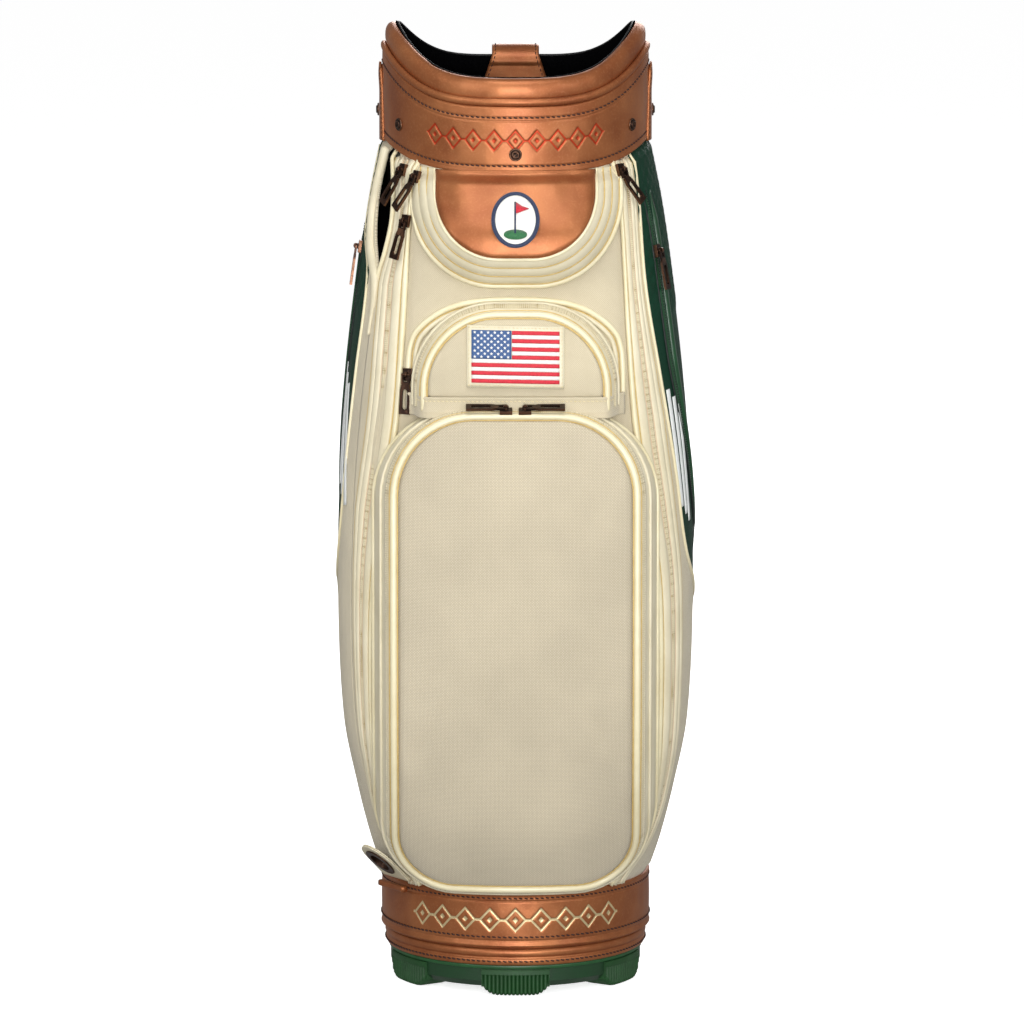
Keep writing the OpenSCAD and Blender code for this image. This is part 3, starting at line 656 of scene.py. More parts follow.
PLASTIC = plain("black_plastic", (22, 22, 24), (30, 30, 32), 0.5)
ROD = plain("drawn_rod", (176, 178, 182), (150, 152, 156), 0.3, 0.9, size=3, depth=0.03)
BRONZE = antique("antique_bronze")
MOULDED = plain("moulded_green", (20, 58, 29), (16, 50, 24), 0.42, size=18, depth=0.12,
                fine=0.8, Coat_Weight=0.1)
RUBBER = plain("ribbed_rubber", (24, 70, 30), (19, 60, 24), 0.5, size=10, depth=0.1, fine=0.9)
LIP = plain("moulded_lip", (34, 84, 44), (27, 72, 36), 0.4, size=14, depth=0.06)
BROWN_THREAD = plain("brown_thread", (40, 16, 11), (60, 28, 18), 0.7, size=2, depth=0.1)
CREAM_THREAD = plain("cream_thread", (226, 214, 178), (206, 190, 146), 0.6, size=2, depth=0.1)
DARK_PIPING = plain("dark_piping", (24, 25, 26), (16, 17, 18), 0.6, size=4)
# The third colour, gap, is painted shade for the grooves between the webbing's threads.
WEBBING = weave("strap_webbing", (222, 210, 176), (208, 194, 156), (150, 132, 92), 1.8, 0.5)
WHITE_PRINT = plain("white_print", (232, 234, 232), (216, 220, 218), 0.5, size=6)
THREADS = {key: plain("thread_" + key, main, other, 0.62, size=1.6, depth=0.35, fine=0.9,
                      Sheen_Weight=0.3)
           for key, main, other in (("red", (214, 34, 54), (190, 24, 44)),
                                    ("white", (240, 238, 232), (224, 222, 214)),
                                    ("blue", (62, 96, 146), (46, 78, 126)),
                                    ("navy", (34, 50, 84), (24, 38, 68)),
                                    ("green", (44, 116, 66), (34, 98, 54)))}


# ---- CAD nodes that keep their shape ----
def dress(nodes, paint, bevel=0.35):
    """Gives CAD nodes a material, rounded edges and smooth shading; their meshes stay."""
    for node in nodes:
        obj = frame["nodes"][node]
        mesh = obj.data
        mesh.materials.clear()
        mesh.materials.append(paint)
        mesh.polygons.foreach_set("use_smooth", [True] * len(mesh.polygons))
        mesh.polygons.foreach_set("material_index", [0] * len(mesh.polygons))
        weld = obj.modifiers.new("weld", "WELD")
        weld.merge_threshold = 0.00001
        edge = obj.modifiers.new("edge", "BEVEL")
        edge.width = bevel * MM
        edge.segments = 2
        edge.limit_method = "ANGLE"
        edge.angle_limit = math.radians(28)
        edge.harden_normals = False
        shade = obj.modifiers.new("shade", "WEIGHTED_NORMAL")
        shade.keep_sharp = False


ZIPS = ["cooler", "valuables", "left_flank", "right_flank", "upper_pocket",
        "big_pocket_left", "big_pocket_right", "left_side", "right_side"]
dress(["zip_slider_" + z for z in ZIPS] + ["zip_pull_" + z for z in ZIPS], BRONZE, 0.4)
dress(["strap_anchors", "strap_hooks", "umbrella_eyelet"], BRONZE, 0.5)
dress(["base_cup"], MOULDED, 0.8)
dress(["floor_pad", "divider_sheets", "cooler_liner"], FLEECE, 0.2)
dress(["inner_tube", "top_ring", "cuff_core"], PLASTIC, 0.4)
dress(["stay_rods"], ROD, 0.6)


# ---- base ----
def rounded(points, r=0.8, n=4):
    """A closed outline with its corners rounded."""
    points = np.asarray(points, float)
    out = []
    for i, p in enumerate(points):
        a, b = points[i - 1] - p, points[(i + 1) % len(points)] - p
        la, lb = np.linalg.norm(a), np.linalg.norm(b)
        k = min(r, la / 2.01, lb / 2.01)
        s, e = p + a / la * k, p + b / lb * k
        for u in np.linspace(0, 1, n):
            out.append(mix(mix(s, p, u), mix(p, e, u), u))
    return np.array(out)


FOOT_W, FOOT_H, FOOT_RIBS = 66, 26, 17


def foot(turn):
    """A foot with a ribbed outer face, a plain ledge on top and a scalloped lower edge."""
    cols = FOOT_RIBS * 8
    x = np.linspace(-FOOT_W / 2, FOOT_W / 2, cols + 1)
    rib = np.abs(np.cos(np.linspace(0, FOOT_RIBS * math.pi, cols + 1))) ** 0.7
    inset = np.clip((np.abs(x) - (FOOT_W / 2 - 17)) / 17, 0, 1)
    low = 15 * (1 - np.sqrt(np.maximum(0, 1 - inset ** 2.2))) + 1.0 * (1 - rib)
    outer = BASE_R + 0.9 + 1.9 * rib
    loops = []
    for i in range(cols + 1):
        b, r = low[i], outer[i]
        loop = [(BASE_R - 25, FOOT_H - 18), (BASE_R - 25, b + 0.2), (r - 4.5, b), (r - 1.4, b + 1.0),
                (r, b + 3.4), (r, max(b + 3.6, FOOT_H - 5.6)), (BASE_R + 3, FOOT_H - 5),
                (BASE_R + 3, FOOT_H - 1), (BASE_R + 2, FOOT_H), (BASE_R + 0.4, FOOT_H),
                (BASE_R + 0.4, FOOT_H - 17.6)]
        loops.append([(x[i], -q, h) for q, h in loop])
    loops = np.array(loops)
    loops[..., 1] = -np.sqrt(np.maximum(loops[..., 1] ** 2 - loops[..., 0] ** 2, 0))
    k = loops.shape[1]
    faces = list(grid_faces(cols + 1, k, close=True, flip=True))
    faces += [list(range(k)), [cols * k + j for j in range(k)][::-1]]
    c, d = math.cos(math.radians(turn)), math.sin(math.radians(turn))
    verts = loops.reshape(-1, 3)
    return np.stack([verts[:, 0] * c - verts[:, 1] * d, verts[:, 0] * d + verts[:, 1] * c,
                     verts[:, 2]], -1), faces


made_of("ribbed_feet", [foot(60 * i) for i in range(6)], RUBBER, "foot_rubber",
        replaces=["base_feet"], flat=True)


def ring_line(r, z, n=240):
    t = np.linspace(0, 360, n, endpoint=False)
    a = np.radians(t)
    z = np.broadcast_to(z(t) if callable(z) else z, t.shape)
    out = np.stack([np.sin(a), -np.cos(a), a * 0], -1)
    return np.stack([r * np.sin(a), -r * np.cos(a), z], -1), out, True


def motif(s, v, half_span, height):
    """Generic ornament: a row of framed lozenges joined by bars. 1 where it is pressed in."""
    pitch = 2 * half_span / 9
    k = np.abs((s + half_span) % pitch - pitch / 2)
    y = np.abs(v) / (height / 2)
    x = k / (pitch / 2)
    ring = np.abs(x / 0.78 + y - 1.0)
    mark = np.maximum(1 - ring / 0.2, 0)
    core = np.maximum(1 - (x / 0.26 + y / 0.34), 0) * 3
    bar = np.where((x > 0.8) & (y < 0.1), 1.0, 0)
    hit = np.clip(np.maximum(np.maximum(mark * 2, core), bar), 0, 1)
    return np.where(np.abs(s) < half_span, hit, 0)


def arc_columns(fine_to, fine_step, rough_step):
    """Angles round the bag, close together near the front centre."""
    front = np.arange(-fine_to, fine_to + 0.001, fine_step)
    back = np.arange(fine_to + rough_step, 360 - fine_to - rough_step / 2, rough_step)
    return np.concatenate([front, back])


def decorated_band(name, r, low, high, relief, half_span, height, paint, replaces, fill):
    """A leather band with a pressed ornament at the front and a closed inner face."""
    t = arc_columns(56, 0.4, 1.5)
    v = np.linspace(0, 1, 90)[:, None]
    z = mix(low(t)[None], high(t)[None], v)
    s = np.radians(np.where(t > 180, t - 360, t))[None] * r
    mid = mix(low(t), high(t), 0.5)[None]
    ink = motif(s, z - mid, half_span, height)
    rr = r + relief(v, z - low(t)[None], high(t)[None] - z) - 0.75 * ink
    a = np.radians(t)[None]
    grid = np.stack([rr * np.sin(a), -rr * np.cos(a), z], -1)
    return shell(name, grid, 2.6, paint, "copper_leather", close=True, replaces=replaces,
                 fill=fill, data={"ink": ink + 0 * z})


def constant(value):
    return lambda t: np.full(np.shape(t), float(value))


def dent(x, centre, half, depth):
    """A narrow groove round centre."""
    return -depth * np.exp(-((x - centre) / half) ** 2)


def bottom_relief(v, from_low, from_top):
    puff = 1.2 * np.sin(np.pi * v) ** 0.5
    edge = -3.0 * (1 - ease(from_low, 0, 3)) - 2.4 * (1 - ease(from_top, 0, 3))
    bead = 1.1 * np.exp(-((from_low - 3.4) / 2.2) ** 2) + 0.8 * np.exp(-((from_top - 3) / 2) ** 2)
    return -1.4 + puff + edge + bead + dent(from_top, 10.5, 0.8, 0.7) + dent(from_low, 8.4, 0.9, 0.7)


decorated_band("bottom_band_leather", BOTTOM_R, constant(47.5), constant(BOTTOM_TOP + 1),
               bottom_relief, 112, 21, COPPER_BASE, ["bottom_band"], 0.9)
trim_profile = rounded([(122.4, 30.5), (125.4, 30.5), (126.6, 33), (126.6, 36.4), (125.2, 37.6),
                        (125.2, 39.2), (127.2, 40.4), (127.6, 43.6), (126.4, 46.4),
                        (124.4, 47.6), (122.4, 47.6)], 1.2)
lathe("bottom_trim_leather", trim_profile, COPPER, "copper_leather", replaces=["bottom_trim"])
lip_profile = rounded([(122.0, 26.6), (123.2, 26.4), (123.6, 28.6), (123.2, 30.2), (122.0, 30.2)], 0.6)
lathe("base_lip", lip_profile, LIP, "moulded_green")
stitches("bottom_stitches", [ring_line(BOTTOM_R - 0.5, BOTTOM_TOP - 6.4),
                             ring_line(BOTTOM_R + 0.1, 59.6), ring_line(127.1, 34.8)],
         BROWN_THREAD, "copper_leather", pitch=5.2, length=3.8, r=0.85)

# ---- cuff ----
def cuff_relief(v, from_low, from_top):
    edge = -2.2 * (1 - ease(from_low, 0, 2.6)) - 1.6 * (1 - ease(from_top, 0, 2))
    bead = 0.9 * np.exp(-((from_low - 2.8) / 1.9) ** 2)
    swell = 0.5 * np.sin(np.pi * v)
    return edge + bead + swell + dent(from_top, 14.2, 0.7, 0.5) + dent(from_low, 9, 0.9, 0.6) \
        + dent(from_top, 11, 0.9, 0.5)


decorated_band("cuff_band_leather", CUFF_R, cuff_low, saddle, cuff_relief, 92, 19,
               COPPER_CUFF, ["cuff_band"], 0.8)
stitches("cuff_stitches", [ring_line(CUFF_R + 0.1, lambda t: saddle(t) - 11),
                           ring_line(CUFF_R + 0.1, lambda t: cuff_low(t) + 9)],
         BROWN_THREAD, "copper_leather", pitch=5.2, length=3.8, r=0.85)


def roll_path(r, over, n=240):
    t = np.linspace(0, 360, n, endpoint=False)
    a = np.radians(t)
    path = np.stack([r * np.sin(a), -r * np.cos(a), saddle(t) + over], -1)
    return t, path, np.stack([np.sin(a), -np.cos(a), a * 0], -1)


def wrinkles(t, seed, count=26, width=5.0):
    """Slight swelling along a roll, from a few seeded folds."""
    draw = random.Random(seed)
    total = np.zeros_like(t)
    for _ in range(count):
        at, size = draw.uniform(0, 360), draw.uniform(-1, 1)
        w = draw.uniform(0.6, 1.6) * width
        d = (t - at + 180) % 360 - 180
        total += size * np.exp(-(d / w) ** 2)
    return total


t, path, out = roll_path(ROLL_R, ROLL_H / 2 + 1)
base = oval(ROLL_T / 2, ROLL_H / 2 + 0.4, 28, 2.35)
section = base[None] * (1 + 0.022 * wrinkles(t, 3))[:, None, None]
section[..., 0] += 0.35 * wrinkles(t, 5, 30, 3.5)[:, None] * (base[:, 0] > 0)[None]
sweep("cuff_roll_padded", path, out, section, COPPER, "copper_leather", close=True,
      replaces=["cuff_roll"], fill=0.9)
t, path, out = roll_path(CUFF_R - 1.4, 3.6)
sweep("cuff_welt_roll", path, out, oval(2.9, 3.7, 16, 2.2), COPPER, "copper_leather",
      close=True, swell=1 + 0.03 * wrinkles(t, 9), replaces=["cuff_welt"], fill=0.9)
t = np.linspace(0, 360, 240, endpoint=False)
a = np.radians(t)[None]
bend = np.radians(np.linspace(-60, 78, 30))[:, None]
half_t, half_h = ROLL_T / 2 + 2.0, ROLL_H / 2 + 1.6
over_r = ROLL_R - half_t * np.cos(bend) + 0 * a
over_z = saddle(t)[None] + ROLL_H / 2 + 1 + half_h * np.sin(bend)
wall_z = mix(BAND_LOW - 4.0 + 0 * a, over_z[:1] - 4, np.linspace(0, 1, 20)[:, None])
wall_r = CUFF_R - 14.0 + 0 * wall_z
lining_r = np.concatenate([wall_r, over_r])
lining_z = np.concatenate([wall_z, over_z])
grid = np.stack([lining_r * np.sin(a), -lining_r * np.cos(a), lining_z], -1)
shell("cuff_lining_fleece", grid[:, ::-1], 2.0, FLEECE, "black_felt", close=True,
      replaces=["cuff_lining"], fill=0.5)
t, path, out = roll_path(ROLL_R - half_t * math.cos(math.radians(62)), ROLL_H / 2 + 1
                         + half_h * math.sin(math.radians(62)))
sweep("lining_piping", path, out, oval(1.1, 1.1, 8), DARK_PIPING, "black_felt", close=True)


def stud(centre_t, r, z):
    """One round stud with stepped rings, standing out of the band."""
    profile = [(6.2, 0), (6.2, 0.9), (5.6, 1.5), (4.9, 1.5), (4.5, 1.0), (4.1, 1.0), (3.7, 2.3),
               (2.9, 2.8), (2.2, 2.5), (1.5, 2.0), (0.0, 1.9)]
    k = 28
    a = np.linspace(0, 2 * math.pi, k, endpoint=False)
    c = math.radians(centre_t)
    out = np.array([math.sin(c), -math.cos(c), 0])
    side = np.array([math.cos(c), math.sin(c), 0])
    up = np.array([0, 0, 1.0])
    rings = [out * (r + h) + up * z + q * (np.cos(a)[:, None] * side + np.sin(a)[:, None] * up)
             for q, h in profile[:-1]]
    verts = np.concatenate(rings + [[out * (r + profile[-1][1]) + up * z]])
    faces = list(grid_faces(len(rings), k, close=True))
    last = (len(rings) - 1) * k
    faces += [[last + i, last + (i + 1) % k, len(rings) * k] for i in range(k)]
    faces.append(list(range(k))[::-1])
    return verts, faces


STUDS = [(0, 816), (60, 838), (-60, 838), (120, 838), (-120, 838), (180, 816)]
studs = [stud(a, CUFF_R + 0.2, z) for a, z in STUDS] + [stud(a, CUFF_R + 3.4, 846) for a in (-90, 90)]
made_of("cuff_studs_ringed", studs, BRONZE, "bronze_metal", replaces=["cuff_studs"])


def tab_outline_half(z):
    return np.interp(z, [818, 886, 892], [25, 14, 4])


tab_lines = []
for side in (-90, 90):
    zs = np.linspace(818, 892, 26)
    w = np.array([tab_outline_half(q) for q in zs])
    sweep_t = side + np.degrees(np.linspace(-1, 1, 15)[None] * w[:, None] / (CUFF_R + 3))
    rr = CUFF_R + 3.2 - 1.6 * np.abs(np.linspace(-1, 1, 15))[None] ** 4 + 0 * w[:, None]
    rr = rr + 0.8 * np.sin(np.linspace(0, math.pi * 3, 26))[:, None] * ease(zs, 850, 890)[:, None]
    a = np.radians(sweep_t)
    grid = np.stack([rr * np.sin(a), -rr * np.cos(a), zs[:, None] + 0 * rr], -1)
    shell("cuff_ear_" + ("left" if side < 0 else "right"), grid, 2.4, COPPER, "copper_leather",
          replaces=["cuff_side_tabs"])
    for c in (1, 13):
        tab_lines.append((grid[1:-2, c], grid_normals(grid)[1:-2, c], False))
stitches("cuff_ear_stitches", tab_lines, BROWN_THREAD, "copper_leather", pitch=4.4, length=3, r=0.5)

# ---- handle at the back of the rim ----
def middle_path(y, z):
    """A path in the bag's middle plane, with its outward normals."""
    path = np.stack([0 * z, y, z], -1)
    along = unit(np.gradient(path, axis=0))
    return path, np.stack([0 * z, along[:, 2], -along[:, 1]], -1)


def both_edges(path, outward, lift, half):
    """Stitch lines near the two edges of a strap in the middle plane."""
    lines = []
    for side in (-1, 1):
        edge = path + outward * lift
        edge[:, 0] = side * half
        lines.append((edge, outward, False))
    return lines


HANDLE_MID, HANDLE_ARCH, HANDLE_R = 117, 880, 16
loop = [(HANDLE_MID + HANDLE_R - 1.5, z) for z in np.linspace(818, HANDLE_ARCH, 20)]
loop += [(HANDLE_MID + HANDLE_R * math.cos(q), HANDLE_ARCH + HANDLE_R * math.sin(q))
         for q in np.linspace(0.12, math.pi - 0.06, 26)]
loop += [(HANDLE_MID - HANDLE_R + 1.2, z) for z in np.linspace(HANDLE_ARCH - 1, 861, 10)]
loop = np.array(loop)
path, outward = middle_path(loop[:, 0], loop[:, 1])
flared = np.interp(loop[:, 1], [858, 866, 888], [33.5, 30.5, 23])
width = np.where(loop[:, 0] < HANDLE_MID, flared, 23.0)
flat = oval(1.0, 1.0, 20, 5)
section = np.stack([flat * [1.9, 1] * [1, w] for w in width])
sweep("rim_handle_leather", path, outward, section, COPPER, "copper_leather",
      replaces=["rim_handle"])
stitches("rim_handle_stitches", both_edges(path, outward, 1.9, width - 3.4), BROWN_THREAD,
         "copper_leather", pitch=4.4, length=3, r=0.55)

# ---- padded divider ----
cell_r = TUBE_R - TUBE_WALL - 0.3
hoop = cell_r - 3
bars, top = [], TUBE_TOP - BAR_H / 2
bar_section = oval(BAR_H / 2, BAR_T / 2 - 0.2, 20, 3.2)


def bar(a, b):
    p = np.linspace(a, b, 26)
    swell = 1 - 0.06 * np.abs(np.linspace(-1, 1, 26)) ** 6
    return sweep_points(p, np.tile([0, 0, 1.0], (26, 1)), bar_section, swell=swell)


bars.append(bar((0, -hoop, top), (0, hoop, top)))
for y in (-CELL_ROW, CELL_ROW):
    reach = math.sqrt(hoop ** 2 - y ** 2)
    for side in (-1, 1):
        bars.append(bar((side * (BAR_T / 2 - 0.5), y, top), (side * reach, y, top)))
t = np.radians(np.linspace(0, 360, 120, endpoint=False))
ring = np.stack([(cell_r - 1.6) * np.sin(t), -(cell_r - 1.6) * np.cos(t), 0 * t + top], -1)
out = np.stack([np.sin(t), -np.cos(t), 0 * t], -1)
bars.append(sweep_points(ring, out, oval(1.5, BAR_H / 2, 14, 3), close=True))
made_of("divider_pads", bars, FLEECE, "black_felt", replaces=["divider_grid"], fill=0.8)


# ---- skin panels ----
def skin_tuck(t, z):
    """How far a skin panel's top and bottom edges turn in under the leather bands."""
    return -5.5 * ease(z - cuff_low(t), -9, 2) - 3.5 * (1 - ease(z, 104, 112))


def skin_sheet(name, left, right, step, paint, slot, replaces, relief, rows=150):
    """A sewn skin panel between two edges given as angles by height."""
    zb = np.linspace(105, 800, rows)
    span = np.max(arc_of(right(zb), zb) - arc_of(left(zb), zb))
    cols = max(4, int(span / step) + 1)
    u = np.linspace(0, 1, cols)[None]
    s0, s1 = arc_of(left(zb), zb)[:, None], arc_of(right(zb), zb)[:, None]
    s = mix(s0, s1, u)
    t = angle_of(s, np.repeat(zb[:, None], cols, 1))
    v = np.linspace(0, 1, rows)[:, None]
    z = mix(BOTTOM_TOP - 2, cuff_low(t) + 3.5, v)
    out = skin_tuck(t, z) + relief(s, z, s - s0, s1 - s)
    shell(name, skin(t, z, out), 2.4, paint, slot, replaces=replaces, fill=0.3,
          data=cloth(s, z))


def creases(s, z, seed, count, top=800.0, deep=1.6):
    """A few soft folds of the cloth."""
    draw = random.Random(seed)
    total = 0 * z
    for _ in range(count):
        s0, z0 = draw.uniform(-160, 160), draw.uniform(130, top)
        lean, size = draw.uniform(-0.5, 0.5), draw.uniform(0.3, 1.0)
        w, h = draw.uniform(5, 11), draw.uniform(24, 60)
        d = (s - s0) - lean * (z - z0)
        total = total + size * np.exp(-(d / w) ** 2 - ((z - z0) / h) ** 2)
    return deep * total


def front_relief(s, z, a, b):
    return creases(s, z, 4, 9, 760, 0.7) - 1.6 * np.exp(-(np.minimum(a, b) / 5) ** 2)


skin_sheet("front_fabric", lambda z: -seam_angle(z), seam_angle, 4.0, FABRIC,
                   "cream_leather", ["front_panel"], front_relief)


def flank_relief(s, z, a, b):
    return creases(s, z, 8, 14, 780, 1.0)


skin_sheet("left_flank_fabric", lambda z: -curve(z, SLIT_INNER), lambda z: -seam_angle(z), 3.0,
           FLANK_FABRIC, "cream_leather", ["left_flank"], flank_relief)
skin_sheet("cooler_fabric", lambda z: -curve(z, LEFT_GREEN), lambda z: -curve(z, SLIT_OUTER), 3.0,
           FLANK_FABRIC, "cream_leather", ["cooler_panel"], flank_relief)
skin_sheet("right_flank_fabric", seam_angle, lambda z: curve(z, RIGHT_GREEN), 3.0,
           FLANK_FABRIC, "cream_leather", ["right_flank"], flank_relief)


def pocket_swell(s, z):
    """The side pocket stands a little out of the green side panel."""
    t = angle_of(s, z)
    inside = np.minimum(np.minimum(np.abs(t) - 104, 134 - np.abs(t)) * 2.6,
                        np.minimum(z - 150, 640 - z))
    return 4.5 * ease(inside, -2, 12)


def green_relief(s, z, a, b):
    u, w = (np.abs(s) + z * 0.9) / 15.0, (np.abs(s) - z * 0.9) / 15.0
    quilt = 1.3 * np.minimum(np.abs(np.sin(u * math.pi)), np.abs(np.sin(w * math.pi))) ** 0.6
    where = ease(z, 652, 664)
    return quilt * where + pocket_swell(s, z) + creases(np.abs(s) - 260, z, 12, 10, 640, 1.4)


skin_sheet("left_side_fabric", constant(-BACK_EDGE), lambda z: -curve(z, LEFT_GREEN),
           2.6, GREEN, "green_weave", ["left_side_panel"], green_relief, rows=280)
skin_sheet("right_side_fabric", lambda z: curve(z, RIGHT_GREEN), constant(BACK_EDGE), 2.6,
           GREEN, "green_weave", ["right_side_panel"], green_relief, rows=280)

zb = np.linspace(0, 1, 150)[:, None]
t = np.linspace(BACK_EDGE, 360 - BACK_EDGE, 70)[None]
z = mix(BOTTOM_TOP - 2, cuff_low(t) + 3.5, zb)
s = np.sign(180 - t) * (arc_of(180, z) - arc_of(180 - np.abs(180 - t), z))
signed = np.where(t > 180, t - 360, t)
grid = skin(signed, z, skin_tuck(t, z) + creases(s, z, 21, 10, 760, 0.9))
shell("back_fabric", grid, 2.4, FLANK_FABRIC, "cream_leather", replaces=["back_panel"], fill=0.3,
      data=cloth(s, z))


# ---- bands, pipings and zips along the skin ----
def top_tuck(t, z):
    """How far the sewn edges turn in where the cuff band covers them."""
    return 6.0 * ease(z - cuff_low(t), -7, 2)


def angle_line(t_of, z0, z1, out=0.0, n=150):
    """A line on the skin with its outward normals; t_of gives the angle at a height."""
    z = np.linspace(z0, z1, n)
    t = t_of(z)
    return skin(t, z, out - top_tuck(t, z)), normals_of(skin, t, z)


FLANK_BANDS = [("piping", 1.2, 2.9, 2.7, CREAM_GLOSS), ("welt", 4.9, 0.8, 0.9, GOLD_LINE),
               ("band_a", 10.4, 2.3, 5.2, CREAM), ("tape_edge", 16.1, 0.9, 0.7, ROSE_LINE),
               ("tape", 19.2, 1.1, 2.9, TAPE), ("tape_rim", 22.4, 0.9, 0.7, ROSE_LINE),
               ("band_b", 26.6, 2.1, 3.9, CREAM), ("band_c", 33.4, 1.7, 3.1, CREAM),
               ("outer_welt", 36.9, 0.8, 0.8, GOLD_LINE)]
for side, edge in ((-1, SLIT_INNER), (1, RIGHT_GREEN)):
    def room(z):
        """Share of their full width that the bands have at a height."""
        free = arc_of(curve(z, edge), z) - arc_of(seam_angle(z), z)
        return np.clip((free - 2) / 40, 0.45, 1.0) * mix(0.55, 1.0, ease(z, 100, 240))
    word = "left" if side < 0 else "right"
    for label, place, high, half, paint in FLANK_BANDS:
        z = np.linspace(BOTTOM_TOP - 1, 806, 170)
        k = room(z)
        s = side * (arc_of(seam_angle(z), z) + place * k)
        path = on_arc(s, z, -0.2 - top_tuck(angle_of(s, z), z))
        nor = normals_of(on_arc, s, z)
        sec = oval(1.0, 1.0, 12, 2.3)[None] * np.stack([high * k ** 0.5, half * k], -1)[:, None]
        sweep(f"{word}_flank_{label}", path, nor, sec, paint, "cream_leather",
              data=cloth(np.repeat(s, 12), np.repeat(z, 12)))
    teeth_z = np.linspace(120, 780, 150)
    s = side * (arc_of(seam_angle(teeth_z), teeth_z) + 19.2 * room(teeth_z))
    stitches(f"{word}_flank_coil", [(on_arc(s, teeth_z, 0.9), normals_of(on_arc, s, teeth_z),
                                     False)], COIL, "cream_leather", pitch=2.0, length=1.1,
             r=0.42, lean=0)

# Edges of the green sides, the open cooler slit and the back seams.
EDGES = [("right_green_piping", lambda z: curve(z, RIGHT_GREEN), 1.6, CREAM_GLOSS),
         ("left_green_piping", lambda z: -curve(z, LEFT_GREEN), 1.6, CREAM_GLOSS),
         ("right_back_piping", constant(BACK_EDGE), 2.2, GREEN_BRIGHT),
         ("left_back_piping", constant(-BACK_EDGE), 2.2, GREEN_BRIGHT)]
for label, t_of, r, paint in EDGES:
    path, nor = angle_line(t_of, 103, 812, 0.3)
    sweep(label, path, nor, oval(r, r, 10), paint,
          "green_leather" if paint is GREEN_BRIGHT else "cream_leather")
path, nor = angle_line(lambda z: -curve(z, SLIT_OUTER) - 2.2 * ease(z, 690, 730), 640, 812, 0.5, 90)
swell = 0.35 + 0.65 * ease(path[:, 2], 650, 700)
sweep("cooler_mouth_roll", path, nor, oval(4.4, 5.4, 14, 2.3), CREAM, "cream_leather",
      swell=swell, fill=0.7)
path, nor = angle_line(lambda z: -curve(z, SLIT_INNER), 645, 812, 0.2, 90)
sweep("cooler_mouth_piping", path, nor, oval(2.0, 2.2, 10), CREAM_GLOSS, "cream_leather",
      swell=0.4 + 0.6 * ease(path[:, 2], 650, 700))

# The side pockets: a zip beside a bright green fold with a dark seam.
SIDE_ZIPS = [("left", -1, [[125, 120], [300, 112], [400, 103], [500, 93], [600, 87], [660, 86],
                           [715, 86], [738, 87]], 737),
             ("right", 1, [[125, 121], [300, 113], [400, 98], [500, 78], [600, 64], [660, 62],
                           [718, 62], [776, 62]], 775)]
for word, side, track, top_z in SIDE_ZIPS:
    z = np.linspace(135, top_z, 150)
    fade = 0.3 + 0.7 * ease(z, 135, 230) * (1 - ease(z, top_z - 30, top_z))
    s0 = side * arc_of(curve(z, track), z)
    for label, shift, high, half, paint in (("tape", 0, 1.0, 4.2, GREEN_BRIGHT),
                                            ("fold", 10.4, 2.7, 4.6, GREEN_BRIGHT),
                                            ("seam", 15.9, 1.2, 1.3, SEAM_DARK),
                                            ("rim", -5.5, 1.2, 1.2, SEAM_DARK)):
        s = s0 + side * shift
        sweep(f"{word}_side_{label}", on_arc(s, z, 0.6), normals_of(on_arc, s, z),
              oval(high, half, 12, 2.2), paint, "green_leather", swell=fade)
    stitches(f"{word}_side_coil", [(on_arc(s0, z, 1.6), normals_of(on_arc, s0, z), False)],
             SEAM_DARK, "green_leather", pitch=2.6, length=1.5, r=0.7, lean=0)


def slanted_bar(side, from_edge, z0, z1, lean, wide, edge):
    """A painted bar on the green side, as a thin raised strip."""
    z = np.linspace(z0, z1, 30)
    s0 = arc_of(curve(530.0, edge), 530.0)
    s = side * (s0 + from_edge + (z - 530) * lean)
    return sweep_points(on_arc(s, z, 0.9), normals_of(on_arc, s, z), oval(0.5, wide, 8, 4))


for side, word, edge, gap, rise, lean, wide in ((-1, "left", LEFT_GREEN, 14, 8, 0.12, 4.6),
                                               (1, "right", RIGHT_GREEN, 9.5, -8, -0.18, 3.4)):
    parts = [slanted_bar(side, 6 + gap * i, 474 + rise * i, 588 + rise * i, lean, wide, edge)
             for i in range(3)]
    made_of(f"{word}_side_bars", parts, WHITE_PRINT, "green_weave")


# ---- front pockets ----
def outline(w, z0, z1, r0, r1, n=14, m=26):
    """A rounded outline, counter-clockwise, as (x, z) points."""
    corners = [(w - r0, z0 + r0, r0, -90), (w - r1, z1 - r1, r1, 0),
               (-w + r1, z1 - r1, r1, 90), (-w + r0, z0 + r0, r0, 180)]
    pts = []
    for i, (cx, cz, r, q0) in enumerate(corners):
        nx, nz, nr, nq = corners[(i + 1) % 4]
        for q in np.linspace(q0, q0 + 90, n):
            pts.append((cx + r * math.cos(math.radians(q)), cz + r * math.sin(math.radians(q))))
        here = np.array(pts[-1])
        there = np.array([nx + nr * math.cos(math.radians(nq)), nz + nr * math.sin(math.radians(nq))])
        pts.extend(mix(here, there, u) for u in np.linspace(0, 1, m + 1)[1:-1])
    return np.array(pts)


def depth_inside(x, z, w, z0, z1, r0, r1):
    """Distance of a face point from its rounded outline."""
    mid = (z0 + z1) / 2
    r = np.where(z < mid, r0, r1)
    qx, qz = np.abs(x) - (w - r), np.abs(z - mid) - ((z1 - z0) / 2 - r)
    return r - np.hypot(np.maximum(qx, 0), np.maximum(qz, 0)) - np.minimum(np.maximum(qx, qz), 0)


def row_half(z, w, z0, z1, r0, r1):
    low = w - r0 + np.sqrt(np.maximum(0, r0 ** 2 - (z0 + r0 - z) ** 2))
    high = w - r1 + np.sqrt(np.maximum(0, r1 ** 2 - (z - z1 + r1) ** 2))
    return np.where(z < z0 + r0, low, np.where(z > z1 - r1, high, w))


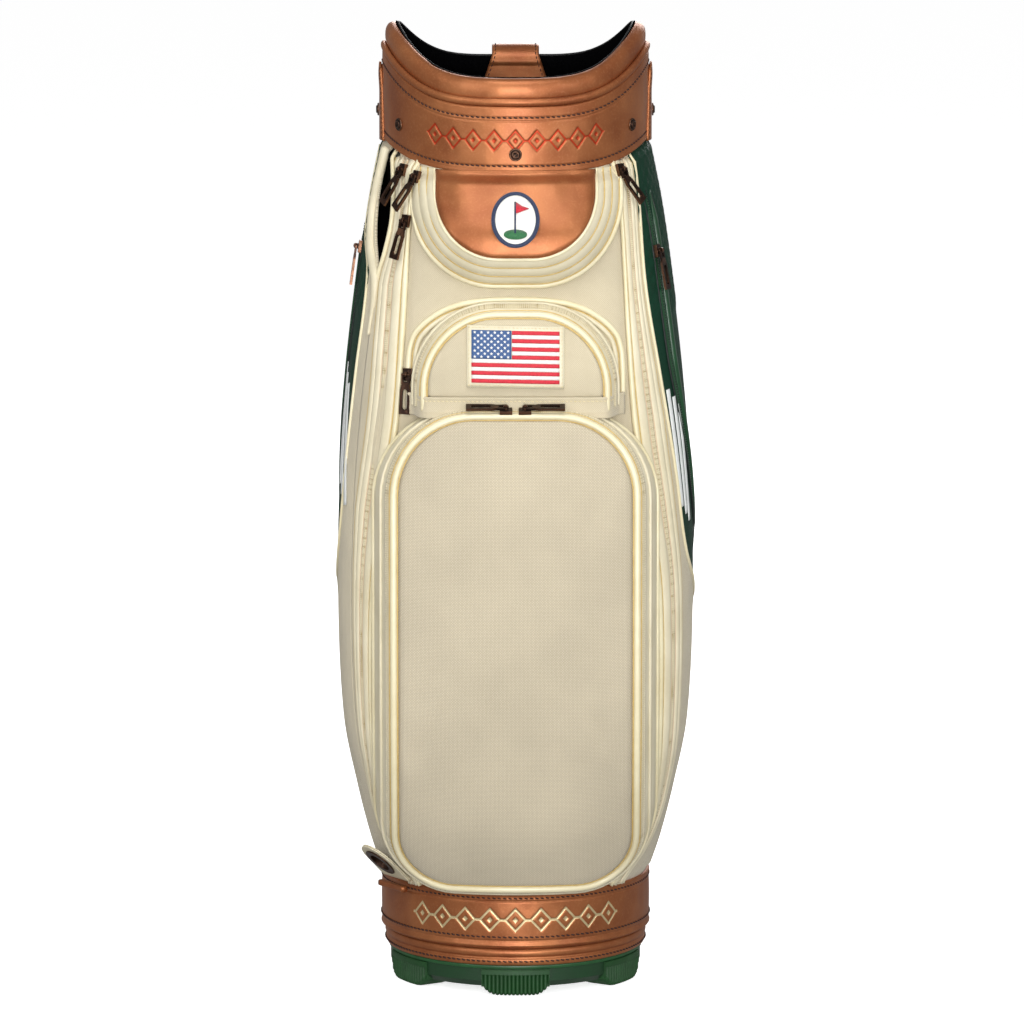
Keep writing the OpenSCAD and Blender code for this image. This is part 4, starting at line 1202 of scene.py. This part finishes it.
def face_grid(w, z0, z1, r0, r1, lift_of, cols=70, mid=80, turn=14):
    """Grid over a rounded face; lift_of(x, z, depth) says how far it stands out."""
    q = np.linspace(0, 90, turn)
    z = np.concatenate([z0 + r0 * (1 - np.cos(np.radians(q))),
                        np.linspace(z0 + r0, z1 - r1, mid)[1:-1],
                        z1 - r1 + r1 * np.sin(np.radians(q))])
    half = row_half(z, w, z0, z1, r0, r1)
    x = half[:, None] * np.linspace(-1, 1, cols)[None]
    z = np.repeat(z[:, None], cols, 1)
    inside = depth_inside(x, z, w, z0, z1, r0, r1)
    return proud(x, z, lift_of(x, z, inside)), x, z, inside


def edge_roll(inside, r):
    """How far a face falls back within r of its edge."""
    d = np.clip(inside, 0, r)
    return r - np.sqrt(np.maximum(0, r * r - (r - d) ** 2))


BALL = (111, 115, 570, 52, 72)        # outline of the woven face: half width, z, radii
BALL_EDGE = 9.0


def ball_lift(x, z, inside):
    crown = 2.2 * ease(inside, 0, 60)
    return curve(z, BALL_RISE) + crown - 0.55 * edge_roll(inside, BALL_EDGE)


def ball_back(x, z):
    """Lift of the face's edge line, for the rows of piping round it."""
    return curve(z, BALL_RISE) - 0.55 * BALL_EDGE


grid, x, z, inside = face_grid(*BALL, ball_lift)
ball = shell("big_pocket_weave", grid, 2.2, BALLISTIC, "cream_weave",
             replaces=["big_pocket_panel"], fill=0.5, data=cloth(x, z))
inflate(ball, inside < 3, 3.0)


def rail(w, z0, z1, r0, r1, lift):
    """A closed line round a pocket's face, with outward normals."""
    pts = outline(w, z0, z1, r0, r1)
    x, z = pts[:, 0], pts[:, 1]
    path = proud(x, z, lift(x, z))
    surf = lambda a, b: proud(a, b, lift(a, b))
    return path, normals_of(surf, x, z), pts


def ring_out(pts):
    """Directions away from an outline, in the face's plane."""
    d = np.roll(pts, -1, 0) - np.roll(pts, 1, 0)
    side = np.stack([d[:, 1], 0 * d[:, 0], -d[:, 0]], -1)
    return unit(side)


def grown(shape, by):
    w, z0, z1, r0, r1 = shape
    return (w + by, z0 - by, z1 + by, r0 + by, r1 + by)


BALL_RAILS = [("welt", 0.6, 0.6, 0.9, 0.9, GOLD_LINE), ("piping", 4.2, 0.6, 3.3, 3.2, CREAM_GLOSS),
              ("line", 8.0, 2.6, 0.7, 0.8, GOLD_LINE)]
for label, by, back, high, half, paint in BALL_RAILS:
    path, nor, pts = rail(*grown(BALL, by), lambda a, b: ball_back(a, b) - back)
    sweep("big_pocket_" + label, path, nor, oval(high, half, 12, 2.2), paint, "cream_leather",
          close=True)

# The pocket's side wall falls from the face to the skin, with the zip tape on its shoulder.
OUTER = (BALL_W + 13, BALL_Z0 - 7, BALL_Z1 + 3, BALL_R0 + 16, BALL_R1 + 8)


def wall_grid(inner, outer, lift, bow, rows=26, foot=0.5):
    a, b = outline(*inner), outline(*outer)
    front = proud(a[:, 0], a[:, 1], lift(a[:, 0], a[:, 1]))
    back = on_front(b[:, 0], b[:, 1], foot)
    u = np.linspace(0, 1, rows)[:, None, None]
    out = ring_out(b)[None]
    face = normals_of(lambda p, q: proud(p, q, 10), a[:, 0], a[:, 1])[None]
    grid = mix(front[None], back[None], u)
    grid = grid + out * bow * np.sin(np.pi * u) + face * 0.35 * bow * np.sin(np.pi * u)
    return grid, u


grid, u = wall_grid(grown(BALL, 7.6), OUTER, lambda a, b: ball_back(a, b) - 2.0, 3.0, 34)
run = np.arange(grid.shape[1]) * 4.0
folds = 0.5 * np.sin(u[:, :, 0] * math.pi * 7) * ease(u[:, :, 0], 0.25, 0.4)
grid = grid + ring_out(outline(*OUTER))[None] * folds[..., None]
shell("big_pocket_wall", grid[::-1], 1.8, CREAM, "cream_leather", close=True,
      replaces=["big_pocket_gusset"], fill=0.4)
normals = grid_normals(grid[::-1], True)[::-1]
for label, row, high, half, paint in (("tape", 4, 0.7, 4.6, TAPE), ("fold", 12, 1.5, 2.2, CREAM),
                                      ("fold_line", 15, 0.8, 0.8, GOLD_LINE),
                                      ("base_piping", 31, 2.0, 2.0, CREAM_GLOSS)):
    path, nor = grid[row], normals[row]
    sweep("big_pocket_" + label, path + nor * 0.3, nor, oval(high, half, 12, 2.4), paint,
          "cream_leather", close=True,
          data=cloth(np.repeat(path[:, 0], 12), np.repeat(path[:, 2], 12)))
stitches("big_pocket_coil", [(grid[4] + normals[4] * 1.0, normals[4], True)], COIL,
         "cream_leather", pitch=2.6, length=1.6, r=0.75, lean=0)

# Upper pocket: an arched face over a hem strip, with the same piping.
FLAG = (83, FLAG_Z0 + 1, 664, 3, 66)


def flag_lift(x, z, inside=0):
    return curve(z, FLAG_RISE) + 1.0 * ease(inside, 0, 30) - 0.5 * edge_roll(inside, 5)


grid, x, z, inside = face_grid(*FLAG, flag_lift, 60, 24, 12)
upper = shell("upper_pocket_weave", grid, 2.2, FABRIC, "cream_weave",
              replaces=["upper_pocket_panel"], fill=0.4, data=cloth(x, z))
inflate(upper, inside < 2, 0.8)


def arch_line(w, top, r, foot, lift, n=40):
    """An open line up one side of the arch, over it and down the other side."""
    rise = [(w, q) for q in np.linspace(foot, top - r, 12)[:-1]]
    bend = [(w - r + r * math.cos(a), top - r + r * math.sin(a))
            for a in np.linspace(0, math.pi / 2, n // 2)]
    pts = np.array(rise + bend + [(-x, z) for x, z in (rise + bend)[::-1]])
    x, z = pts[:, 0], pts[:, 1]
    return lift(x, z), normals_of(lift, x, z), pts


for label, by, drop, high, half, paint in (("welt", 0.6, 2.6, 0.8, 0.9, GOLD_LINE),
                                           ("piping", 3.9, 3.0, 2.6, 2.8, CREAM_GLOSS),
                                           ("line", 7.2, 6.0, 0.7, 0.8, GOLD_LINE)):
    path, nor, pts = arch_line(FLAG[0] + by, FLAG[2] + by, FLAG[4] + by, 578,
                               lambda a, b: proud(a, b, curve(b, FLAG_RISE) - drop))
    sweep("upper_pocket_" + label, path, nor, oval(high, half, 12, 2.2), paint, "cream_leather")
shape_in = (FLAG[0] + 6.6, 577, FLAG[2] + 6.6, 4, FLAG[4] + 6.6)
shape_out = (FLAG_W + 11, 576, FLAG_Z1 + 9, 5, FLAG_R + 9)
grid, u = wall_grid(shape_in, shape_out, lambda a, b: curve(b, FLAG_RISE) - 5.0, 2.2, 22)
shell("upper_pocket_wall", grid[::-1], 1.8, CREAM, "cream_leather", close=True,
      replaces=["upper_pocket_gusset"], fill=0.4)
normals = grid_normals(grid[::-1], True)[::-1]
keep = outline(*shape_out)[:, 1] > 580
order = np.nonzero(keep)[0]
for label, row, high, half, paint in (("tape", 8, 0.7, 3.4, TAPE), ("fold", 15, 1.5, 2.4, CREAM)):
    path, nor = grid[row][order], normals[row][order]
    sweep("upper_pocket_" + label, path + nor * 0.3, nor, oval(high, half, 12, 2.4), paint,
          "cream_leather", data=cloth(np.repeat(path[:, 0], 12), np.repeat(path[:, 2], 12)))
# Arched piping on the skin above the pocket.
ARCH = [(102, 588), (102, 612), (101, 630), (97, 645), (85, 658), (69, 669), (50, 676),
        (25, 679.5), (0, 680)]
arch = np.array(ARCH + [(-x, z) for x, z in ARCH[-2::-1]], float)
run = np.concatenate([[0], np.cumsum(np.hypot(*np.diff(arch, axis=0).T))])
at = np.linspace(0, run[-1], 140)
xs, zs = np.interp(at, run, arch[:, 0]), np.interp(at, run, arch[:, 1])
for _ in range(12):
    xs[1:-1] = (xs[:-2] + 2 * xs[1:-1] + xs[2:]) / 4
    zs[1:-1] = (zs[:-2] + 2 * zs[1:-1] + zs[2:]) / 4
away = unit(np.stack([np.gradient(zs), -np.gradient(xs)], -1))
for label, inside, r, paint in (("piping", 0, 2.7, CREAM_GLOSS), ("band", 6.2, 2.4, CREAM),
                                ("welt", 3.4, 0.7, GOLD_LINE)):
    px, pz = xs + away[:, 0] * -inside, zs + away[:, 1] * -inside
    sweep("arch_" + label, on_front(px, pz, 0.5), normals_of(on_front, px, pz), oval(r, r, 12),
          paint, "cream_leather")

# Hem strip with raised edges and a stitch row.
x = np.linspace(-104, 104, 100)[None]
z = np.linspace(571, 591.5, 18)[:, None] + 0 * x
lift = np.interp(np.abs(x), [85, 90, 98, 104], [31.2, 28.2, 4.5, 0.6]) + 0 * z
ridge = 1.0 * np.exp(-((z - 590) / 1.3) ** 2) + 0.5 * np.exp(-((z - 577) / 1.5) ** 2)
grid = proud(x, z, lift + ridge)
shell("upper_pocket_hem", grid, 2.0, FABRIC, "cream_leather",
      data=cloth(x, z))
row = x[0, 4:-4]
stitches("hem_stitches", [(proud(row, 587.4 + 0 * row, lift[0, 4:-4] + 0.3),
                           normals_of(lambda a, b: proud(a, b, 30), row, 587.4 + 0 * row), False)],
         CREAM_THREAD, "cream_leather", pitch=4.0, length=2.9, r=0.5)

# ---- flag patch ----
FLAG_HALF, PATCH_Z0, PATCH_Z1 = 46, 600.5, 658.5


def on_patch(x, z, out):
    tilt = 0.02
    return proud(x, z - x * tilt, curve(z, FLAG_RISE) + 2.4 + out)


def patch_part(x0, x1, z0, z1, out, thick, nx=2, nz=2):
    x = np.linspace(x0, x1, nx)[None]
    z = np.linspace(z0, z1, nz)[:, None]
    return closed_panel(on_patch(x, z, out), on_patch(x, z, out - thick))


verts, faces = patch_part(-FLAG_HALF, FLAG_HALF, PATCH_Z0, PATCH_Z1, 0, 2.0, 30, 16)
make("flag_patch_base", verts, faces, CREAM, "flag_print", replaces=["flag_patch"])
fx, fz0, fz1 = FLAG_HALF - 4.4, PATCH_Z0 + 4.6, PATCH_Z1 - 4.4
stripe = (fz1 - fz0) / 13
reds, whites = [], []
for i in range(13):
    x0 = -fx if i < 6 else -fx + 2 * fx * 0.46
    part = patch_part(x0, fx, fz0 + i * stripe, fz0 + (i + 0.96) * stripe,
                      0.9 if i % 2 == 0 else 0.7, 1.2, 24, 4)
    (reds if i % 2 == 0 else whites).append(part)
for label, parts, paint in (("red", reds, THREADS["red"]), ("white", whites, THREADS["white"])):
    made_of("flag_stripes_" + label, parts, paint, "flag_print")
verts, faces = patch_part(-fx, -fx + 2 * fx * 0.455, fz0 + 6 * stripe, fz1, 1.0, 1.3, 14, 10)
make("flag_canton", verts, faces, THREADS["blue"], "flag_print")


def star(cx, cz, r):
    a = np.radians(90 + 36 * np.arange(10))
    q = np.where(np.arange(10) % 2 == 0, r, r * 0.45)
    x, z = cx + q * np.cos(a), cz + q * np.sin(a)
    return plate(on_patch(x, z, 1.55), on_patch(x, z, 0.8))


stars = []
cw, ch = 2 * fx * 0.455, fz1 - fz0 - 6 * stripe
for row in range(9):
    count = 6 if row % 2 == 0 else 5
    for i in range(count):
        x = -fx + cw * ((i + (0.5 if count == 6 else 1.0)) / 6)
        stars.append(star(x, fz0 + 6 * stripe + ch * (row + 0.7) / 9.4, 1.55))
made_of("flag_stars", stars, THREADS["white"], "flag_print", flat=True)
edge = []
for x0, z0, x1, z1 in ((-44, PATCH_Z0 + 2, 44, PATCH_Z0 + 2), (44, PATCH_Z0 + 2, 44, PATCH_Z1 - 2),
                       (44, PATCH_Z1 - 2, -44, PATCH_Z1 - 2), (-44, PATCH_Z1 - 2, -44, PATCH_Z0 + 2)):
    x, z = np.linspace(x0, x1, 24), np.linspace(z0, z1, 24)
    nor = normals_of(lambda a, b: on_patch(a, b, 0), x, z)
    edge.append((on_patch(x, z, 0.2), nor, False))
stitches("flag_patch_stitches", edge, CREAM_THREAD, "flag_print", pitch=3.4, length=2.4, r=0.42)

# ---- valuables pocket ----
VALU_TOP = 801.0


def tuck_in(z):
    """How far the tops of the front panels turn in behind the cuff band."""
    return 7.5 * ease(z, 789, 799)


def valu_lift(x, z, inside):
    gather = 0.8 * np.sin(x / 6.5 + 0.02 * z) * ease(z, 756, 790) * np.exp(-((np.abs(x) - 52) / 26) ** 2)
    return curve(z, VALU_RISE) + 1.6 * ease(inside, 0, 26) - 0.5 * edge_roll(inside, 6) \
        + gather - tuck_in(z)


q = np.linspace(0, 90, 16)
z = np.concatenate([VALU_Z0 + VALU_R * (1 - np.cos(np.radians(q))),
                    np.linspace(VALU_Z0 + VALU_R, VALU_TOP, 12)[1:]])
half = row_half(z, VALU_W, VALU_Z0, 900, VALU_R, 10)
x = half[:, None] * np.linspace(-1, 1, 60)[None]
z = np.repeat(z[:, None], 60, 1)
inside = depth_inside(x, z, VALU_W, VALU_Z0, 2 * 900 - VALU_Z0, VALU_R, VALU_R)
grid = proud(x, z, valu_lift(x, z, inside))
valu = shell("valuables_leather", grid, 2.0, COPPER, "copper_leather",
             replaces=["valuables_panel"], fill=0.4)
inflate(valu, (inside < 3) | (z > VALU_TOP - 14), 1.0)


def u_line(w, z0, z1, r, n=60):
    """An open U from the top left, round the bottom, to the top right."""
    a = [(-w, q) for q in np.linspace(z1, z0 + r, 12)[:-1]]
    b = [(-w + r - r * math.cos(q), z0 + r - r * math.sin(q))
         for q in np.linspace(0, math.pi / 2, n // 2)]
    left = a + b
    return np.array(left + [(-x, z) for x, z in left[::-1]])


inner = u_line(VALU_W, VALU_Z0, VALU_TOP, VALU_R)
outer = u_line(VALU_W + 25, VALU_Z0 - 30, VALU_TOP, 82)
u = np.linspace(0, 1, 40)[:, None, None]
front_line = proud(inner[:, 0], inner[:, 1],
                   curve(inner[:, 1], VALU_RISE) - 3.0 - 0.6 * tuck_in(inner[:, 1]))
back_line = on_front(outer[:, 0], outer[:, 1], 0.5)
grid = mix(front_line[None], back_line[None], u)
d = np.gradient(outer, axis=0)
out = unit(np.stack([d[:, 1], 0 * d[:, 0], -d[:, 0]], -1))
face = np.array([0, -1.0, 0])
bands = 1.7 * np.abs(np.sin(np.clip(u / 0.86, 0, 1) * 3 * math.pi)) ** 0.55
flat_top = 1 - ease(grid[..., 2:], 786, 799)
grid = grid + (out * 0.4 + face * 0.9) * (bands + 3.0 * np.sin(math.pi * u)) * flat_top
grid = grid - face * tuck_in(grid[..., 2:]) * 0.8
shell("valuables_bands", grid[::-1], 1.8, CREAM, "cream_leather",
      replaces=["valuables_gusset"], fill=0.5)
normals = grid_normals(grid[::-1])[::-1]
SLIDER_LOW = 772        # height of the zip slider at the end of its travel
for label, row, high, half, paint in (("welt_a", 11, 0.8, 0.7, GOLD_LINE),
                                      ("welt_b", 22, 0.8, 0.7, GOLD_LINE),
                                      ("outer_welt", 34, 0.8, 0.8, GOLD_LINE),
                                      ("piping", 37, 2.8, 2.8, CREAM_GLOSS),
                                      ("inner_piping", 1, 1.6, 1.6, CREAM_GLOSS)):
    under = np.exp(-((inner[:, 1] - SLIDER_LOW) / 12) ** 2) * (inner[:, 0] < 0)
    sweep("valuables_" + label, grid[row] + normals[row] * (0.2 - max(0.5 * high, 1.1) * under)[:, None],
          normals[row], oval(high, half, 10), paint, "cream_leather", swell=1 - 0.3 * under)

# ---- generic oval patch: a pin flag on a white field ----
EMBLEM_Z = 757
tilt = math.radians(33)
patch_centre = np.array([0, skin_front(0, 757.0) - 27.4, EMBLEM_Z])
patch_out = np.array([0, -math.cos(tilt), math.sin(tilt)])
patch_up = np.array([0, math.sin(tilt), math.cos(tilt)])


def on_oval(x, y, out):
    x, y, out = np.broadcast_arrays(np.asarray(x, float), np.asarray(y, float), out)
    return patch_centre + x[..., None] * [1, 0, 0] + y[..., None] * patch_up + out[..., None] * patch_out


def oval_disc(rx, ry, out, thick, k=64, rings=6):
    a = np.linspace(0, 2 * math.pi, k, endpoint=False)
    rows = [on_oval(rx * q * np.cos(a), ry * q * np.sin(a), out + 0.6 * (1 - q * q))
            for q in np.linspace(0.04, 1, rings)]
    rows.append(on_oval(rx * np.cos(a), ry * np.sin(a), out - thick))
    verts = np.concatenate(rows)
    n = len(rows)
    faces = list(grid_faces(n, k, close=True, flip=True))
    faces += [list(range(k)), [k * (n - 1) + i for i in range(k)][::-1]]
    return verts, faces


def emblem_piece(name, points, out, thick, thread):
    x, y = np.array(points, float).T
    make(name, *plate(on_oval(x, y, out), on_oval(x, y, out - thick)), THREADS[thread],
         "emblem_print")


verts, faces = oval_disc(21, 27.5, 3.2, 3.0)
make("emblem_field", verts, faces, THREADS["white"], "emblem_print", replaces=["emblem_patch"])
a = np.linspace(0, 2 * math.pi, 80, endpoint=False)
path = on_oval(21 * np.cos(a), 27.5 * np.sin(a), 3.0)
sweep("emblem_border", path, np.tile(patch_out, (80, 1)), oval(1.6, 2.0, 10), THREADS["navy"],
      "emblem_print", close=True)
mound = [(11 * math.cos(q), -16 + 5 * math.sin(q)) for q in np.linspace(0, 2 * math.pi, 30)[:-1]]
emblem_piece("emblem_green", mound, 5.0, 1.6, "green")
emblem_piece("emblem_pole", [(-1.1, -15), (0.5, -15), (0.5, 18), (-1.1, 18)], 5.4, 1.8, "navy")
emblem_piece("emblem_pennant", [(0.5, 17.5), (0.5, 6), (12.5, 11), (6.5, 13.2)], 5.6, 1.8, "red")

# ---- back: spine strip, handle and strap ----
t = np.linspace(-10, 10, 15)[None]
z = np.linspace(BOTTOM_TOP, 800, 120)[:, None]
grid = skin(180 + t + 0 * z, z + 0 * t, 2.2 - 1.4 * (np.abs(t) / 10) ** 6 - 5 * ease(z, 792, 802))
shell("spine_strip", grid, 2.4, COPPER, "copper_leather")
lines = []
for c in (1, 13):
    lines.append((grid[2:-6, c], grid_normals(grid)[2:-6, c], False))
stitches("spine_stitches", lines, BROWN_THREAD, "copper_leather", pitch=4.8, length=3.3, r=0.6)
handle = np.array([[152.5, 503], [164, 510], [174, 520], [180, 532], [181, 545], [181, 570],
                   [181, 595], [180, 608], [174, 620], [164, 630], [152.5, 637]], float)
run = np.linspace(0, 1, len(handle))
fine_run = np.linspace(0, 1, 60)
loop = np.stack([np.interp(fine_run, run, handle[:, i]) for i in range(2)], -1)
for _ in range(4):
    loop[1:-1] = (loop[:-2] + 2 * loop[1:-1] + loop[2:]) / 4
path, outward = middle_path(loop[:, 0], loop[:, 1])
grip = ease(fine_run, 0.12, 0.3) * (1 - ease(fine_run, 0.7, 0.88))
section = np.stack([oval(2.6 + 3.4 * g, 14.5 - 2.5 * g, 18, 3.5 - 1.2 * g) for g in grip])
sweep("spine_handle_grip", path, outward, section, COPPER, "copper_leather",
      replaces=["spine_handle"], fill=0.9)
lines = both_edges(path, outward, (2.4 + 2.9 * grip)[:, None], 9.5 - 2.0 * grip)
stitches("spine_handle_stitches", lines, BROWN_THREAD, "copper_leather", pitch=4.4, length=3, r=0.55)


def strap_line(z):
    return PIN_Y + 17 + STRAP_BOW * np.sin(np.pi * (PIN_Z1 - z) / (PIN_Z1 - PIN_Z0))


z = np.linspace(PIN_Z0 - 7, PIN_Z1 + 7, 90)
path, outward = middle_path(strap_line(z) + 1.5, z)
section = oval(1.5, 19, 24, 6)
sweep("shoulder_strap_webbing", path, outward, section, WEBBING, "webbing", body="strap",
      replaces=["shoulder_strap"], data=cloth(np.tile(section[:, 1], 90), np.repeat(z, 24)))
lines = both_edges(path, outward, 1.6, 15.5)
for zz in (PIN_Z0 + 14, PIN_Z1 - 14, PIN_Z0 + 34, PIN_Z1 - 34):
    i = int(np.argmin(np.abs(z - zz)))
    x = np.linspace(-15, 15, 12)
    row = path[i] + outward[i] * 1.6 + x[:, None] * [1, 0, 0]
    lines.append((row, np.tile(outward[i], (12, 1)), False))
stitches("shoulder_strap_stitches", lines, BROWN_THREAD, "webbing", body="strap", pitch=4.4,
         length=3, r=0.5)
z = np.linspace(430, 640, 70)
path, outward = middle_path(strap_line(z) - 7.2, z)
u = np.linspace(-1, 1, 70)
ends = np.clip(1 - np.abs(u) ** 14, 0, 1) ** 0.4
quilts = 0.84 + 0.16 * np.abs(np.sin(np.linspace(0, 5 * math.pi, 70))) ** 0.5
base = oval(6.4, 30.5, 40, 3.0)
section = np.stack([base * [q * max(e, 0.25), 0.93 + 0.07 * e] for q, e in zip(quilts, ends)])
sweep("strap_pad_quilted", path, outward, section, COPPER, "copper_leather", body="strap",
      replaces=["strap_pad"], fill=0.8)

# ---- umbrella tab ----
TAB_TURN, TAB_ROOT, TAB_Z, TAB_TILT, EYE_Y = -56, 138, 106, 45, 27


def on_tab(x, y, h):
    """From the tab's own plane: x along its fold, y outwards, h across its thickness."""
    x, y, h = np.broadcast_arrays(np.asarray(x, float), np.asarray(y, float), h)
    c, s = math.cos(math.radians(-TAB_TILT)), math.sin(math.radians(-TAB_TILT))
    yy, zz = y * c - h * s, y * s + h * c
    q = math.radians(TAB_TURN)
    yy = yy - TAB_ROOT
    return np.stack([x * math.cos(q) - yy * math.sin(q), x * math.sin(q) + yy * math.cos(q),
                     zz + TAB_Z], -1)


def tongue(r, grow, n=44):
    """Outline of the tongue, and of the eyelet's hole at matching points."""
    arc = np.radians(np.linspace(180, 360, n))
    pts = [(r * math.cos(a), -EYE_Y + r * math.sin(a)) for a in arc]
    pts += [(r, y) for y in np.linspace(-EYE_Y, -1 + grow, 10)[1:]]
    pts += [(x, -1 + grow) for x in np.linspace(r, -r, 12)[1:-1]]
    pts += [(-r, y) for y in np.linspace(-1 + grow, -EYE_Y, 10)[:-1]]
    return np.array(pts)


rim = tongue(23, 0)
way = rim - [0, -EYE_Y]
hole = unit(way) * 13.6 + [0, -EYE_Y]
layers = [("cream", 1.5, 1.45, CREAM, "umbrella_tab_face"), ("under", 0.0, 1.4, CREAM, "tab_back")]
for word, h0, thick, paint, label in layers:
    u = np.linspace(0, 1, 8)[:, None, None]
    pts = mix(rim[None], hole[None], u)
    dome = 0.5 * (1 - (1 - u[..., 0]) ** 6) if word == "cream" else 0 * u[..., 0]
    top_side = on_tab(pts[..., 0], pts[..., 1], h0 + thick - 0.4 + 0.4 * dome / 0.5)
    low_side = on_tab(pts[::-1, :, 0], pts[::-1, :, 1], h0)
    loops = np.concatenate([top_side, low_side])
    n, k = loops.shape[:2]
    faces = grid_faces(n + 1, k, close=True) % (n * k)
    make(label, loops, faces, paint, "cream_leather", body="umbrella_holder",
         replaces=["umbrella_tab"] if word == "cream" else [])
edge = tongue(20.2, -2.6)
edge = edge[:62]
up = on_tab(0, 0, 1) - on_tab(0, 0, 0)
stitches("umbrella_tab_stitches", [(on_tab(edge[:, 0], edge[:, 1], 3.0),
                                    np.tile(up, (len(edge), 1)), False)],
         CREAM_THREAD, "cream_leather", body="umbrella_holder", pitch=3.8, length=2.6, r=0.45)
q = math.radians(TAB_TURN)
x = np.linspace(-21, 21, 16)
root = on_tab(x, 0 * x, 0) + [0, 0, -7.5]
inward = np.array([-math.sin(q) * -1, math.cos(q), 0])
path = root + inward * 5.4
sweep("tab_anchor_leather", path, np.tile(-inward, (16, 1)), oval(3.4, 3.0, 16, 3.5), COPPER,
      "cream_leather", replaces=["tab_anchor"])


# ---- floor, light and camera ----
def backdrop(name, verts, faces, diffuse, glow):
    """A white stage piece that the camera sees; it sends no light or reflection to the bag."""
    mesh = bpy.data.meshes.new(name)
    mesh.from_pydata(verts, [], faces)
    p = Paint(name + "_white", 0.8, Base_Color=(diffuse, diffuse, diffuse, 1),
              Emission_Color=(1, 1, 1, 1), Emission_Strength=glow, Specular_IOR_Level=0.0)
    mesh.materials.append(p.mat)
    obj = bpy.data.objects.new(name, mesh)
    bpy.context.scene.collection.objects.link(obj)
    obj.visible_glossy = False
    obj.visible_diffuse = False
    return obj


def studio():
    k = 64
    a = np.linspace(0, 2 * math.pi, k, endpoint=False)
    disc = [(12 * math.cos(q), 12 * math.sin(q), 0) for q in a]
    backdrop("floor", disc, [list(range(k))], 0.9, 0.74)
    rows = np.linspace(-math.pi / 2 + 0.02, math.pi / 2 - 0.02, 24)
    dome = [(14 * math.cos(q) * math.cos(f), 14 * math.sin(q) * math.cos(f), 14 * math.sin(f))
            for f in rows for q in a]
    faces = [list(map(int, f)) for f in grid_faces(24, k, close=True, flip=True)]
    faces += [list(range(k)), list(range(23 * k, 24 * k))]
    sky = backdrop("backdrop", dome, faces, 0.0, 1.0)
    sky.visible_shadow = False


def lamp(name, place, target, size, watts, glossy=True):
    light = bpy.data.lights.new(name, "AREA")
    light.shape = "RECTANGLE"
    light.size, light.size_y = size
    light.energy = watts
    obj = bpy.data.objects.new(name, light)
    bpy.context.scene.collection.objects.link(obj)
    obj.location = place
    obj.visible_glossy = glossy
    way = Vector(target) - Vector(place)
    obj.rotation_euler = way.to_track_quat("-Z", "Y").to_euler()


def world(strength):
    bpy.context.scene.world = bpy.data.worlds.new("studio")
    bpy.context.scene.world.use_nodes = True
    back = bpy.context.scene.world.node_tree.nodes["Background"]
    back.inputs["Color"].default_value = (1, 1, 1, 1)
    back.inputs["Strength"].default_value = strength


def camera():
    """Seen from the front, a little above the rim, with a long lens."""
    cam = bpy.data.cameras.new("camera")
    cam.lens = 264
    cam.sensor_width = 36
    cam.shift_x = -0.0034
    cam.shift_y = -0.0064
    cam.clip_start, cam.clip_end = 0.5, 60
    obj = bpy.data.objects.new("camera", cam)
    bpy.context.scene.collection.objects.link(obj)
    obj.location = (0, -7.2, 1.6)
    obj.rotation_euler = (math.radians(81), 0, 0)
    bpy.context.scene.camera = obj


studio()
world(0.27)
lamp("key", (-2.4, -2.8, 1.9), (0, 0, 0.5), (0.9, 2.2), 28)
lamp("fill", (2.5, -2.7, 1.6), (0, 0, 0.5), (0.9, 2.2), 25)
lamp("top", (0, -1.5, 3.0), (0, 0, 0.6), (1.6, 0.9), 30)
lamp("front", (0.2, -4.4, 1.5), (0, 0, 0.45), (1.8, 1.5), 54)
lamp("low", (0.1, -3.4, 0.48), (0, 0, 0.3), (1.3, 0.8), 46)
lamp("back", (0.6, 3.6, 1.9), (0, 0, 0.5), (2.0, 1.8), 55)
lamp("side_left", (-3.4, 0.9, 1.7), (0, 0, 0.45), (1.2, 1.8), 20, False)
lamp("side_right", (3.4, 0.9, 1.7), (0, 0, 0.45), (1.2, 1.8), 20, False)
camera()
bpy.context.scene.view_settings.view_transform = "Standard"
